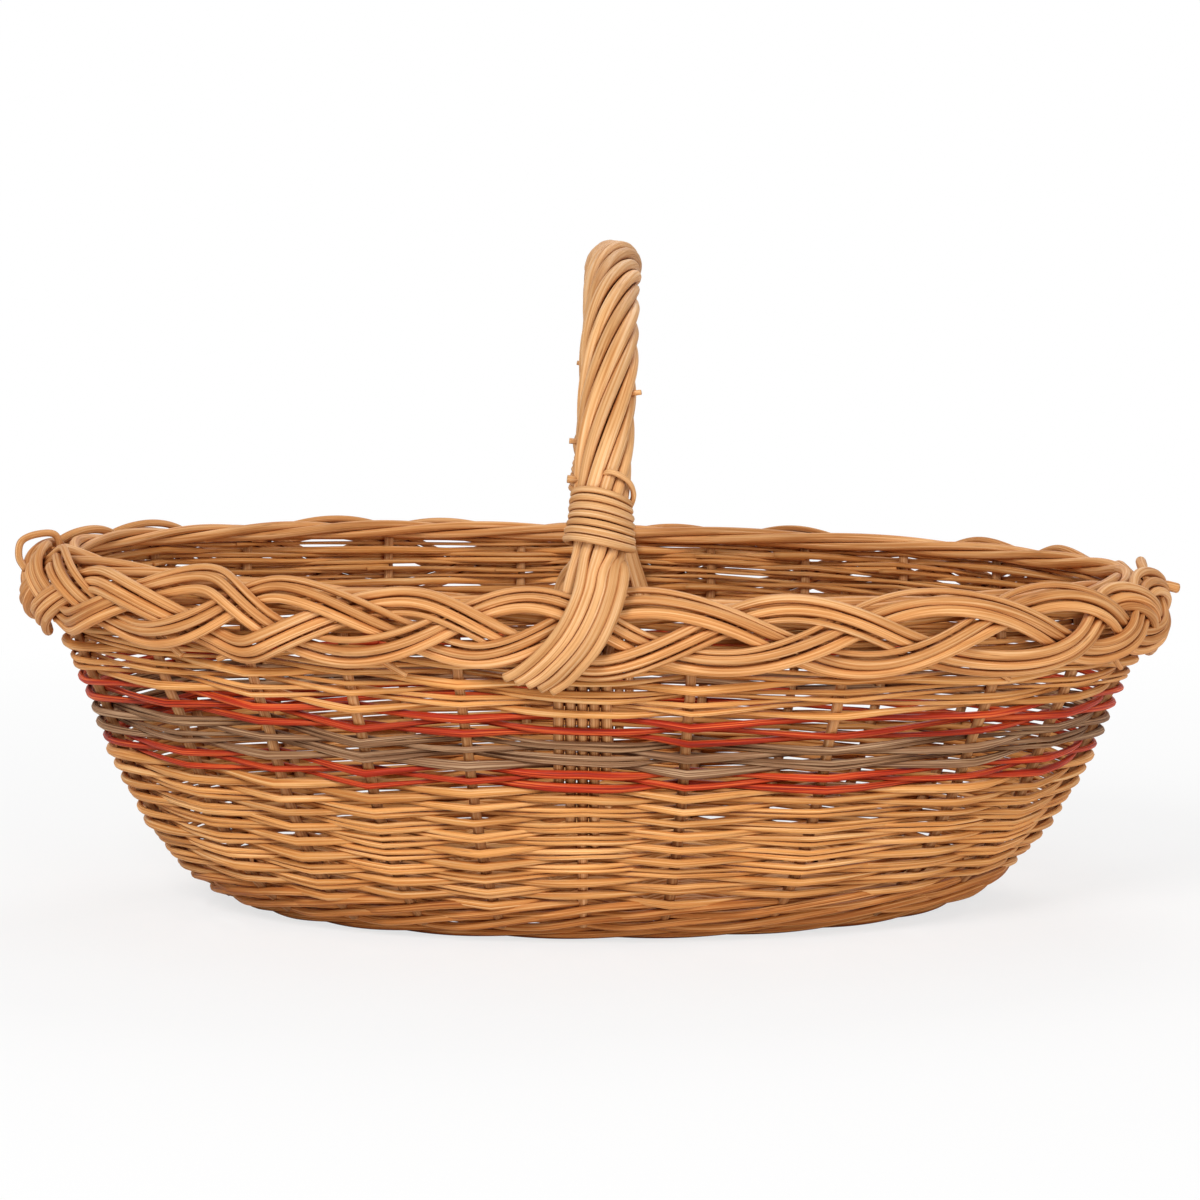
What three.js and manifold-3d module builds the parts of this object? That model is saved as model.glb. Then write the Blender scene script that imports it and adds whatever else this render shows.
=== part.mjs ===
// Oval willow foraging basket with a fixed roped handle.
// Millimetres, +Z up. X runs along the basket, Y across it, and the origin lies on the floor
// below the middle of the basket.
import * as THREE from 'three';
import { mergeVertices } from 'three/addons/utils/BufferGeometryUtils.js';
import Module from 'manifold-3d';

const wasm = await Module();
wasm.setup();

// Driving sizes of the basket
const BASE_HALF_LENGTH = 176;
const BASE_HALF_WIDTH = 113;
const RIM_HALF_LENGTH = 264;
const RIM_HALF_WIDTH = 170;
const HANDLE_TOP = 325;
const RIM_TILT = 6.5;
const CLEARANCE = 0.35;

// Heights of the courses, each from the top of the one below
const FOOT_HEIGHT = 7;
const UPSETT_HEIGHT = 12.6;
const LOWER_SIDING_HEIGHT = 57;
const LOWER_RED_HEIGHT = 10;
const GREY_HEIGHT = 14.5;
const UPPER_RED_HEIGHT = 11.5;
const UPPER_SIDING_HEIGHT = 25;
const RIM_SIDING_HEIGHT = 24.5;
const BORDER_HEIGHT = 33;
const SIDING_BELLY_SHARE = 0.35;
const SIDING_SHOULDER_SHARE = 0.68;

// Rods
const STAKE_RADIUS = 2.5;
const WEAVER_THICKNESS = 4.2;
const FOOT_WIDTH = 10;
const INNER_RIM_RADIUS = 2.7;
const CORE_RADIUS = 2.45;
const ROPING_RADIUS = 2.7;
const BINDING_RADIUS = 1.4;

// Base
const BASE_THICKNESS = 13;
const BASE_HOLLOW_DEPTH = 2.1;
const CROSS_STICK_RADIUS = 4.6;
const LONG_STICK_RADIUS = 2.5;
const LONG_STICK_PITCH = 5.5;
const CROSS_STICK_PITCH = 44;
const STICK_END_MARGIN = 3;

// Plaited border
const BORDER_WAVES = 9;
const BORDER_STEPS_PER_WAVE = 9;
const BORDER_SWING = 13.4;
const BORDER_HANG = 3;
const BORDER_DEPTH_SWING = 4.2;
const BORDER_STRAND_WIDTH = 9.2;
const BORDER_STRAND_THICKNESS = 4.8;

// Handle
const HANDLE_LEAN = 8;
const LEG_SHIFT = 6.4;
const ARCH_STEPS = 26;
const ROPING_START = 15;
const ROPING_LATTICE_STEPS = 21;
const BINDING_TURNS = 7;
const BINDING_PITCH = 3.9;
const BINDING_STEPS = 12;
const FAN_PITCH = 6;
const CORE_PITCH = 5.4;
const INNER_TAIL_LENGTH = 50;

// Counts
const CORE_COUNT = 5;
const ROPING_COUNT = 10;
const STRAND_COUNT = 3;
const SIDING_LAYERS = 3;

const DEGREE = Math.PI / 180;
const HALF_TURN = Math.PI;
const FULL_TURN = 2 * Math.PI;
const UP = new THREE.Vector3(0, 0, 1);

// Places of the stakes round the front half in degrees; the back half is the front half turned round
const FRONT_STAKE_DEGREES = [-163, -141.7, -127.6, -115.4, -103.6, -80.6, -64.6, -45.3, -30.5, -6];
const HANDLE_DEGREES = -91.4;

// Levels of the wall, and how far it has flared out at each as a share of the whole flare
const FOOT_TOP = FOOT_HEIGHT;
const UPSETT_BOTTOM = FOOT_TOP + CLEARANCE;
const UPSETT_TOP = UPSETT_BOTTOM + UPSETT_HEIGHT;
const LOWER_SIDING_TOP = UPSETT_TOP + LOWER_SIDING_HEIGHT;
const SIDING_BELLY = UPSETT_TOP + SIDING_BELLY_SHARE * LOWER_SIDING_HEIGHT;
const SIDING_SHOULDER = UPSETT_TOP + SIDING_SHOULDER_SHARE * LOWER_SIDING_HEIGHT;
const LOWER_RED_TOP = LOWER_SIDING_TOP + LOWER_RED_HEIGHT;
const GREY_TOP = LOWER_RED_TOP + GREY_HEIGHT;
const UPPER_RED_TOP = GREY_TOP + UPPER_RED_HEIGHT;
const UPPER_SIDING_TOP = UPPER_RED_TOP + UPPER_SIDING_HEIGHT;
const RIM_SIDING_TOP = UPPER_SIDING_TOP + RIM_SIDING_HEIGHT;
const RIM_TOP = UPPER_SIDING_TOP + BORDER_HEIGHT;
const WALL_LEVELS = [
  { z: 0, flareShare: 0 },
  { z: UPSETT_BOTTOM, flareShare: 0.114 },
  { z: UPSETT_TOP, flareShare: 0.304 },
  { z: SIDING_BELLY, flareShare: 0.496 },
  { z: SIDING_SHOULDER, flareShare: 0.625 },
  { z: LOWER_SIDING_TOP, flareShare: 0.722 },
  { z: LOWER_RED_TOP, flareShare: 0.769 },
  { z: GREY_TOP, flareShare: 0.831 },
  { z: UPPER_RED_TOP, flareShare: 0.895 },
  { z: UPPER_SIDING_TOP, flareShare: 0.992 },
  { z: RIM_TOP, flareShare: 1 },
];

// Willow colours
const willow = (color, roughness = 0.62) =>
  new THREE.MeshStandardMaterial({ color, roughness, metalness: 0 });
const BUFF_WILLOW = willow(0xd9a469);
const DARK_WILLOW = willow(0xb9824b);
const RED_WILLOW = willow(0xb23a1e, 0.55);
const GREY_WILLOW = willow(0x8a7052, 0.7);
const PALE_WILLOW = willow(0xe0b27c, 0.58);

const basket = new THREE.Group();

// The wall was woven a little higher at its -X end than at its +X end
function tiltedRise(x, z) {
  const share = THREE.MathUtils.clamp((z - UPSETT_TOP) / (UPPER_SIDING_TOP - UPSETT_TOP), 0, 1);
  return -RIM_TILT * share * (x / RIM_HALF_LENGTH);
}

function addPiece(name, geometry, material) {
  const position = geometry.getAttribute('position');
  for (let i = 0; i < position.count; i += 1) {
    const z = position.getZ(i);
    position.setZ(i, z + tiltedRise(position.getX(i), z));
  }
  const mesh = new THREE.Mesh(geometry, material);
  mesh.name = name;
  basket.add(mesh);
}

// Shape of the wall

function flareShareAt(z) {
  const last = WALL_LEVELS[WALL_LEVELS.length - 1];
  for (let i = 1; i < WALL_LEVELS.length; i += 1) {
    const below = WALL_LEVELS[i - 1];
    const above = WALL_LEVELS[i];
    if (z <= above.z) {
      const share = (z - below.z) / (above.z - below.z);
      return THREE.MathUtils.lerp(below.flareShare, above.flareShare, share);
    }
  }
  return last.flareShare;
}

function halfLengthAt(z) {
  return THREE.MathUtils.lerp(BASE_HALF_LENGTH, RIM_HALF_LENGTH, flareShareAt(z));
}

function halfWidthAt(z) {
  return THREE.MathUtils.lerp(BASE_HALF_WIDTH, RIM_HALF_WIDTH, flareShareAt(z));
}

function wallPoint(angle, z, offset = 0) {
  const x = (halfLengthAt(z) + offset) * Math.cos(angle);
  const y = (halfWidthAt(z) + offset) * Math.sin(angle);
  return new THREE.Vector3(x, y, z);
}

function arcPerAngle(angle, z) {
  return Math.hypot(halfLengthAt(z) * Math.sin(angle), halfWidthAt(z) * Math.cos(angle));
}

// Distance from the axis across the basket, at a place x along it
function wallDepth(x, z, offset) {
  const share = x / (halfLengthAt(z) + offset);
  return (halfWidthAt(z) + offset) * Math.sqrt(1 - share * share);
}

// Closed bodies from rows of sections

function signedVolume(points, faces) {
  let volume = 0;
  for (const [a, b, c] of faces) {
    const normal = new THREE.Vector3().crossVectors(points[b], points[c]);
    volume += points[a].dot(normal);
  }
  return volume;
}

function bodyFrom(sections, closed) {
  const sides = sections[0].length;
  const points = sections.flat();
  const faces = [];
  const spans = closed ? sections.length : sections.length - 1;
  for (let i = 0; i < spans; i += 1) {
    const here = i * sides;
    const next = ((i + 1) % sections.length) * sides;
    for (let j = 0; j < sides; j += 1) {
      const k = (j + 1) % sides;
      faces.push([here + j, here + k, next + k]);
      faces.push([here + j, next + k, next + j]);
    }
  }
  if (!closed) {
    const end = (sections.length - 1) * sides;
    for (let j = 1; j < sides - 1; j += 1) {
      faces.push([0, j + 1, j]);
      faces.push([end, end + j, end + j + 1]);
    }
  }
  const outward = signedVolume(points, faces) > 0;
  const index = faces.flatMap(([a, b, c]) => (outward ? [a, b, c] : [a, c, b]));
  const geometry = new THREE.BufferGeometry().setFromPoints(points);
  geometry.setIndex(index);
  return geometry;
}

function toManifold(geometry) {
  const bare = new THREE.BufferGeometry();
  bare.setAttribute('position', geometry.getAttribute('position'));
  bare.setIndex(geometry.getIndex());
  const merged = mergeVertices(bare);
  const vertProperties = new Float32Array(merged.getAttribute('position').array);
  const triVerts = new Uint32Array(merged.getIndex().array);
  return new wasm.Manifold(new wasm.Mesh({ numProp: 3, vertProperties, triVerts }));
}

function fromManifold(manifold) {
  const mesh = manifold.getMesh();
  const geometry = new THREE.BufferGeometry();
  const position = new THREE.BufferAttribute(new Float32Array(mesh.vertProperties), mesh.numProp);
  geometry.setAttribute('position', position);
  geometry.setIndex(new THREE.BufferAttribute(new Uint32Array(mesh.triVerts), 1));
  return geometry;
}

// Sections of a rod: an ellipse of the given half sizes round each point of its route
function rodSections(points, references, halfWidth, halfHeight, sides, closed) {
  const count = points.length;
  return points.map((point, i) => {
    const before = closed ? points[(i + count - 1) % count] : points[Math.max(i - 1, 0)];
    const after = closed ? points[(i + 1) % count] : points[Math.min(i + 1, count - 1)];
    const tangent = new THREE.Vector3().subVectors(after, before).normalize();
    const side = new THREE.Vector3().crossVectors(tangent, references[i]).normalize();
    const lift = new THREE.Vector3().crossVectors(side, tangent);
    const section = [];
    for (let j = 0; j < sides; j += 1) {
      const turn = (j / sides) * FULL_TURN;
      const corner = point.clone();
      corner.addScaledVector(lift, halfHeight * Math.cos(turn));
      corner.addScaledVector(side, halfWidth * Math.sin(turn));
      section.push(corner);
    }
    return section;
  });
}

function rod(points, references, radius, sides) {
  return bodyFrom(rodSections(points, references, radius, radius, sides, false), false);
}

// Places round the wall where stakes stand, with the room that each takes on either side
const ROOM_SHARE = 1.7;
const stakeAngles = FRONT_STAKE_DEGREES.map((degrees) => degrees * DEGREE);
const handleAngle = HANDLE_DEGREES * DEGREE;
const coreHalfRow = ((CORE_COUNT - 1) / 2) * CORE_PITCH;
const uprights = [];
for (const turn of [0, HALF_TURN]) {
  for (const angle of stakeAngles) {
    uprights.push({ angle: angle + turn, room: STAKE_RADIUS * ROOM_SHARE });
  }
  uprights.push({ angle: handleAngle + turn, room: coreHalfRow + CORE_RADIUS * ROOM_SHARE });
}
uprights.sort((first, second) => first.angle - second.angle);

// A woven course runs outside every other upright and inside the ones between, and the next
// course the opposite way, so that two courses cross between the uprights
const WEAVE_OFFSET = STAKE_RADIUS + CLEARANCE + WEAVER_THICKNESS / 2;
const MOST_TURN_PER_STEP = 22 * DEGREE;

function weavePlaces(z, firstSide) {
  const places = [];
  uprights.forEach((upright, i) => {
    const side = i % 2 === 0 ? firstSide : -firstSide;
    const next = uprights[(i + 1) % uprights.length];
    const nextAngle = i + 1 < uprights.length ? next.angle : next.angle + FULL_TURN;
    const room = upright.room / arcPerAngle(upright.angle, z);
    const leave = upright.angle + room;
    const arrive = nextAngle - next.room / arcPerAngle(next.angle, z);
    places.push({ angle: upright.angle - room, side });
    places.push({ angle: leave, side });
    const tightness = arcPerAngle(HALF_TURN / 2, z) / arcPerAngle((leave + arrive) / 2, z);
    const steps = Math.ceil((tightness * (arrive - leave)) / MOST_TURN_PER_STEP);
    for (let k = 1; k < steps; k += 1) {
      const share = k / steps;
      const angle = THREE.MathUtils.lerp(leave, arrive, share);
      places.push({ angle, side: side * (1 - 2 * share) });
    }
  });
  return places;
}

// Level distance across the wall for each unit measured square to it, where the wall leans most
function leanFactor(angle, levels, i) {
  const factors = [];
  for (const [low, high] of [[i - 1, i], [i, i + 1]]) {
    if (low >= 0 && high < levels.length) {
      const run = wallPoint(angle, levels[high]).sub(wallPoint(angle, levels[low]));
      factors.push(run.length() / (levels[high] - levels[low]));
    }
  }
  return Math.max(...factors);
}

function wovenLayer(levels, firstSide) {
  const middle = (levels[0] + levels[levels.length - 1]) / 2;
  const sections = weavePlaces(middle, firstSide).map(({ angle, side }) => {
    const inner = side * WEAVE_OFFSET - WEAVER_THICKNESS / 2;
    const outer = side * WEAVE_OFFSET + WEAVER_THICKNESS / 2;
    const outside = levels.map((z, i) => wallPoint(angle, z, outer * leanFactor(angle, levels, i)));
    const inside = levels.map((z, i) => wallPoint(angle, z, inner * leanFactor(angle, levels, i)));
    return [...outside, ...inside.reverse()];
  });
  return bodyFrom(sections, true);
}

// A course of one or more layers that alternate and are joined where they cross
function wovenCourse(bottom, top, layers, firstSide) {
  const height = (top - bottom) / layers;
  let course = null;
  for (let i = 0; i < layers; i += 1) {
    const lap = i === 0 ? 0 : CLEARANCE;
    const levels = [bottom + i * height - lap, bottom + (i + 1) * height];
    const layer = toManifold(wovenLayer(levels, i % 2 === 0 ? firstSide : -firstSide));
    course = course ? course.add(layer) : layer;
  }
  return fromManifold(course);
}

// Foot hoop, flat underneath
function footHoop() {
  const steps = 40;
  const chamferShare = 0.3;
  const half = FOOT_WIDTH / 2;
  const flat = half * (1 - chamferShare);
  const chamfer = FOOT_HEIGHT * chamferShare;
  const outline = [
    [-flat, 0], [flat, 0], [half, chamfer], [half, FOOT_HEIGHT - chamfer],
    [flat, FOOT_HEIGHT], [-flat, FOOT_HEIGHT], [-half, FOOT_HEIGHT - chamfer], [-half, chamfer],
  ];
  const sections = [];
  for (let i = 0; i < steps; i += 1) {
    const angle = (i / steps) * FULL_TURN;
    sections.push(outline.map(([offset, z]) => {
      const x = (BASE_HALF_LENGTH + offset) * Math.cos(angle);
      const y = (BASE_HALF_WIDTH + offset) * Math.sin(angle);
      return new THREE.Vector3(x, y, z);
    }));
  }
  return bodyFrom(sections, true);
}

// Base: long sticks threaded through slots in the cross sticks, all inside the base weave
const BASE_BOTTOM = FOOT_TOP + CLEARANCE;
const BASE_MIDDLE = BASE_BOTTOM + BASE_THICKNESS / 2;
const LONG_STICK_COUNT = 3;
const CROSS_STICK_COUNT = 5;
const STICK_SIDES = 8;
const BASE_STEPS = 48;
const RIPPLE_STEPS = 6;
const CHORD_MARGIN = 1.6;
const WALE_HALF_DEPTH = WEAVE_OFFSET + WEAVER_THICKNESS / 2;
const WALE_LEVELS = [UPSETT_BOTTOM, UPSETT_TOP];
const WALE_DEPTH_AT_END = WALE_HALF_DEPTH * leanFactor(0, WALE_LEVELS, 0) + CHORD_MARGIN;
const WALE_DEPTH_AT_SIDE = WALE_HALF_DEPTH * leanFactor(HALF_TURN / 2, WALE_LEVELS, 0) + CHORD_MARGIN;
const BASE_DISC_HALF_LENGTH = halfLengthAt(UPSETT_BOTTOM) - WALE_DEPTH_AT_END;
const BASE_DISC_HALF_WIDTH = halfWidthAt(UPSETT_BOTTOM) - WALE_DEPTH_AT_SIDE;

function straightStick(start, end, radius) {
  return rod([start, end], [UP, UP], radius, STICK_SIDES);
}

function slotThrough(extraLength) {
  const halfWidth = ((LONG_STICK_COUNT - 1) / 2) * LONG_STICK_PITCH + LONG_STICK_RADIUS + CLEARANCE;
  const height = 2 * (LONG_STICK_RADIUS + CLEARANCE);
  return new THREE.BoxGeometry(extraLength, 2 * halfWidth, height);
}

function longStickEnds(y, spare = 0) {
  const share = y / BASE_DISC_HALF_WIDTH;
  const reach = BASE_DISC_HALF_LENGTH * Math.sqrt(1 - share * share) - STICK_END_MARGIN + spare;
  return [new THREE.Vector3(-reach, y, BASE_MIDDLE), new THREE.Vector3(reach, y, BASE_MIDDLE)];
}

function crossStickEnds(x, spare = 0) {
  const share = x / BASE_DISC_HALF_LENGTH;
  const reach = BASE_DISC_HALF_WIDTH * Math.sqrt(1 - share * share) - STICK_END_MARGIN + spare;
  return [new THREE.Vector3(x, -reach, BASE_MIDDLE), new THREE.Vector3(x, reach, BASE_MIDDLE)];
}

function indexPlaces(count, pitch) {
  return Array.from({ length: count }, (unused, i) => (i - (count - 1) / 2) * pitch);
}

const longPlaces = indexPlaces(LONG_STICK_COUNT, LONG_STICK_PITCH);
const crossPlaces = indexPlaces(CROSS_STICK_COUNT, CROSS_STICK_PITCH);

function crossStick(x) {
  const [start, end] = crossStickEnds(x);
  const stick = toManifold(straightStick(start, end, CROSS_STICK_RADIUS));
  const slot = slotThrough(4 * CROSS_STICK_RADIUS).translate(x, 0, BASE_MIDDLE);
  return fromManifold(stick.subtract(toManifold(slot)));
}

// Oval outline of the base weave, from its bottom to its top
function baseOval() {
  const sections = [BASE_BOTTOM, BASE_BOTTOM + BASE_THICKNESS].map((z) => {
    const section = [];
    for (let i = 0; i < BASE_STEPS; i += 1) {
      const angle = (i / BASE_STEPS) * FULL_TURN;
      const x = BASE_DISC_HALF_LENGTH * Math.cos(angle);
      const y = BASE_DISC_HALF_WIDTH * Math.sin(angle);
      section.push(new THREE.Vector3(x, y, z));
    }
    return section;
  });
  return toManifold(bodyFrom(sections, false));
}

// Sheet that swells over each cross stick and sinks between them
function rippledSheet() {
  const pitches = Math.ceil(BASE_DISC_HALF_LENGTH / CROSS_STICK_PITCH);
  const sections = [];
  for (let i = -pitches * RIPPLE_STEPS; i <= pitches * RIPPLE_STEPS; i += 1) {
    const sink = (BASE_HOLLOW_DEPTH / 2) * (1 - Math.cos((i / RIPPLE_STEPS) * FULL_TURN));
    const half = BASE_THICKNESS / 2 - sink;
    const x = (i / RIPPLE_STEPS) * CROSS_STICK_PITCH;
    sections.push([[-1, -1], [1, -1], [1, 1], [-1, 1]].map(([across, up]) => (
      new THREE.Vector3(x, across * BASE_HALF_WIDTH, BASE_MIDDLE + up * half)
    )));
  }
  return toManifold(bodyFrom(sections, false));
}

function baseWeave() {
  let weave = baseOval().intersect(rippledSheet());
  for (const x of crossPlaces) {
    const [start, end] = crossStickEnds(x, 2 * STICK_END_MARGIN);
    weave = weave.subtract(toManifold(straightStick(start, end, CROSS_STICK_RADIUS + CLEARANCE)));
  }
  const [start] = longStickEnds(0, 2 * STICK_END_MARGIN);
  const channel = slotThrough(2 * Math.abs(start.x)).translate(0, 0, BASE_MIDDLE);
  weave = weave.subtract(toManifold(channel));
  return fromManifold(weave);
}

addPiece('foot_hoop', footHoop(), BUFF_WILLOW);
addPiece('base_weave', baseWeave(), DARK_WILLOW);
longPlaces.forEach((y, i) => {
  const [start, end] = longStickEnds(y);
  addPiece(`long_base_stick_${i + 1}`, straightStick(start, end, LONG_STICK_RADIUS), BUFF_WILLOW);
});
crossPlaces.forEach((x, i) => {
  addPiece(`cross_base_stick_${i + 1}`, crossStick(x), BUFF_WILLOW);
});

// Woven wall, each course resting on the one below and crossing it between the stakes
const courses = [
  { name: 'upsett_wale', top: UPSETT_TOP, layers: 1, material: DARK_WILLOW },
  { name: 'lower_siding_1', top: SIDING_BELLY, layers: SIDING_LAYERS, material: BUFF_WILLOW },
  { name: 'lower_siding_2', top: SIDING_SHOULDER, layers: SIDING_LAYERS, material: BUFF_WILLOW },
  { name: 'lower_siding_3', top: LOWER_SIDING_TOP, layers: SIDING_LAYERS, material: BUFF_WILLOW },
  { name: 'lower_red_band', top: LOWER_RED_TOP, layers: 1, material: RED_WILLOW },
  { name: 'grey_band', top: GREY_TOP, layers: 1, material: GREY_WILLOW },
  { name: 'upper_red_band', top: UPPER_RED_TOP, layers: 1, material: RED_WILLOW },
  { name: 'upper_siding', top: UPPER_SIDING_TOP, layers: 2, material: BUFF_WILLOW },
  { name: 'rim_siding', top: RIM_SIDING_TOP, layers: 1, material: BUFF_WILLOW },
];
let courseBottom = UPSETT_BOTTOM;
let layersBelow = 0;
for (const { name, top, layers, material } of courses) {
  const firstSide = layersBelow % 2 === 0 ? 1 : -1;
  addPiece(name, wovenCourse(courseBottom, top, layers, firstSide), material);
  courseBottom = top + CLEARANCE;
  layersBelow += layers;
}

// Stakes, threaded up through the woven wall and ending behind the border
const STAKE_SIDES = 5;
const STAKE_TOP = RIM_TOP - STAKE_RADIUS;
const STAKE_BOTTOM = UPSETT_BOTTOM;
const stakeLevels = WALL_LEVELS.map((level) => level.z).filter((z) => z > 0 && z < STAKE_TOP);
stakeLevels.push(STAKE_TOP);

function sideStake(angle) {
  const points = stakeLevels.map((z) => wallPoint(angle, z));
  const along = new THREE.Vector3(-Math.sin(angle), Math.cos(angle), 0);
  return rod(points, points.map(() => along), STAKE_RADIUS, STAKE_SIDES);
}

const allStakeAngles = [...stakeAngles, ...stakeAngles.map((angle) => angle + HALF_TURN)];
allStakeAngles.forEach((angle, i) => {
  const number = String(i + 1).padStart(2, '0');
  addPiece(`side_stake_${number}`, sideStake(angle), DARK_WILLOW);
});

// Border: a three-strand plait lying against the siding behind it, and one rod inside the stakes
const BORDER_MIDDLE = UPPER_SIDING_TOP + BORDER_HEIGHT / 2 - BORDER_HANG;
const BORDER_HALF_DEPTH = BORDER_DEPTH_SWING + BORDER_STRAND_THICKNESS / 2;
const BORDER_OFFSET = WEAVE_OFFSET + WEAVER_THICKNESS / 2 + CLEARANCE + BORDER_HALF_DEPTH;
const BORDER_SIDES = 6;

function borderStrand(number) {
  const steps = BORDER_WAVES * BORDER_STEPS_PER_WAVE;
  const points = [];
  const references = [];
  for (let i = 0; i < steps; i += 1) {
    const angle = (i / steps) * FULL_TURN;
    const phase = BORDER_WAVES * angle + (number / STRAND_COUNT) * FULL_TURN - HALF_TURN / 6;
    const z = BORDER_MIDDLE + BORDER_SWING * Math.sin(phase);
    const depth = BORDER_OFFSET - BORDER_DEPTH_SWING * Math.sin(2 * phase);
    const base = wallPoint(angle, BORDER_MIDDLE, depth);
    points.push(new THREE.Vector3(base.x, base.y, z));
    references.push(new THREE.Vector3(Math.cos(angle), Math.sin(angle), 0));
  }
  const halfWidth = BORDER_STRAND_WIDTH / 2;
  const halfHeight = BORDER_STRAND_THICKNESS / 2;
  return bodyFrom(rodSections(points, references, halfWidth, halfHeight, BORDER_SIDES, true), true);
}

for (let i = 0; i < STRAND_COUNT; i += 1) {
  addPiece(`border_strand_${i + 1}`, borderStrand(i), BUFF_WILLOW);
}

const INNER_RIM_OFFSET = -(STAKE_RADIUS + CLEARANCE + INNER_RIM_RADIUS);
const INNER_RIM_LEVEL = RIM_TOP - 2 * INNER_RIM_RADIUS;
const INNER_RIM_STEPS = 44;
const INNER_RIM_SIDES = 5;

function innerRim() {
  const points = [];
  for (let i = 0; i < INNER_RIM_STEPS; i += 1) {
    const angle = (i / INNER_RIM_STEPS) * FULL_TURN;
    points.push(wallPoint(angle, INNER_RIM_LEVEL, INNER_RIM_OFFSET));
  }
  const references = points.map(() => UP);
  const sections = rodSections(points, references, INNER_RIM_RADIUS, INNER_RIM_RADIUS, INNER_RIM_SIDES, true);
  return bodyFrom(sections, true);
}

addPiece('inner_rim_rod', innerRim(), BUFF_WILLOW);

// Handle arch: a half ellipse across the basket that leans a little along it at the top
const CORE_RING = CORE_PITCH / 2 / Math.sin(HALF_TURN / CORE_COUNT);
const ROPING_RING = CORE_RING + CORE_RADIUS + CLEARANCE + ROPING_RADIUS;
const LEG_SPAN = halfWidthAt(RIM_TOP);
const ARCH_RISE = HANDLE_TOP - ROPING_RING - ROPING_RADIUS - RIM_TOP;
const ARCH_SAMPLES = 400;

function archPlace(turn) {
  const point = new THREE.Vector3(
    HANDLE_LEAN * Math.sin(turn),
    -LEG_SPAN * Math.cos(turn),
    RIM_TOP + ARCH_RISE * Math.sin(turn),
  );
  const tangent = new THREE.Vector3(
    HANDLE_LEAN * Math.cos(turn),
    LEG_SPAN * Math.sin(turn),
    ARCH_RISE * Math.cos(turn),
  ).normalize();
  const along = new THREE.Vector3(1, 0, 0);
  const outward = new THREE.Vector3().crossVectors(tangent, along).normalize().negate();
  const side = new THREE.Vector3().crossVectors(outward, tangent).normalize().negate();
  return { point, tangent, outward, side };
}

const archLengths = [0];
for (let i = 1; i <= ARCH_SAMPLES; i += 1) {
  const before = archPlace(((i - 1) / ARCH_SAMPLES) * HALF_TURN).point;
  const after = archPlace((i / ARCH_SAMPLES) * HALF_TURN).point;
  archLengths.push(archLengths[i - 1] + before.distanceTo(after));
}
const ARCH_LENGTH = archLengths[ARCH_SAMPLES];

function archAt(distance) {
  let i = 1;
  while (i < ARCH_SAMPLES && archLengths[i] < distance) {
    i += 1;
  }
  const share = (distance - archLengths[i - 1]) / (archLengths[i] - archLengths[i - 1]);
  return archPlace(((i - 1 + share) / ARCH_SAMPLES) * HALF_TURN);
}

// The point at a radius and turn round the arch's middle line; turn 0 faces away from the basket
function roundArch(distance, radius, turn) {
  const { point, outward, side } = archAt(distance);
  const reference = outward.clone().multiplyScalar(Math.cos(turn));
  reference.addScaledVector(side, Math.sin(turn));
  return { point: point.clone().addScaledVector(reference, radius), reference };
}

function turnedRound(route) {
  const turned = (vector) => new THREE.Vector3(-vector.x, -vector.y, vector.z);
  return route.map(({ point, reference }) => ({ point: turned(point), reference: turned(reference) }));
}

const ropingLength = ARCH_LENGTH - 2 * ROPING_START;
const archStations = Array.from(
  { length: ARCH_STEPS + 1 },
  (unused, i) => ROPING_START + (i / ARCH_STEPS) * ropingLength,
);

function rodFromRoute(route, radius, sides) {
  return rod(route.map((place) => place.point), route.map((place) => place.reference), radius, sides);
}

// Core rods: a bundle under the roping that spreads into a flat row and goes down through the wall
const CORE_SIDES = 5;
const OUTWARD_AT_FRONT = new THREE.Vector3(0, -1, 0);
const coreBundleTurns = [-1, -2, 0, 2, 1].map((step) => (step / CORE_COUNT) * FULL_TURN);

function coreFoot(row, z) {
  const shift = LEG_SHIFT * THREE.MathUtils.clamp((RIM_TOP - z) / BORDER_HEIGHT, 0, 1);
  const x = row - shift;
  return new THREE.Vector3(x, -wallDepth(x, z, 0), z);
}

function coreLegRoute(row) {
  const levels = stakeLevels.slice(0, -1);
  levels.push(RIM_TOP);
  return levels.map((z) => ({ point: coreFoot(row, z), reference: OUTWARD_AT_FRONT }));
}

const coreRows = indexPlaces(CORE_COUNT, CORE_PITCH);
coreRows.forEach((row, i) => {
  const turn = coreBundleTurns[i];
  const arch = archStations.map((distance) => roundArch(distance, CORE_RING, turn));
  const frontLeg = coreLegRoute(row);
  const backLeg = turnedRound(coreLegRoute(-row)).reverse();
  const route = [...frontLeg, ...arch, ...backLeg];
  addPiece(`handle_core_rod_${i + 1}`, rodFromRoute(route, CORE_RADIUS, CORE_SIDES), DARK_WILLOW);
});

// Roping rods: twisted round the core; at each foot those on the outside fan out over the border
// and those on the inside go down along the inner face of the wall
const ROPING_SIDES = 5;
const ROPING_TWIST = (ROPING_LATTICE_STEPS / ROPING_COUNT) * FULL_TURN;
const FAN_OFFSET = BORDER_OFFSET + BORDER_HALF_DEPTH + CLEARANCE + ROPING_RADIUS;
const INNER_TAIL_OFFSET = INNER_RIM_OFFSET - INNER_RIM_RADIUS - CLEARANCE - ROPING_RADIUS;
const FAN_REACH_SHARES = [0, 0.02, 0.09, 0.24, 0.46, 0.72, 1];
const FAN_DROP_SHARES = [0.14, 0.3, 0.5, 0.68, 0.83, 0.93, 1];
const FAN_REACH = 36;
const FAN_DROP = BORDER_HEIGHT + ROPING_START;

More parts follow.
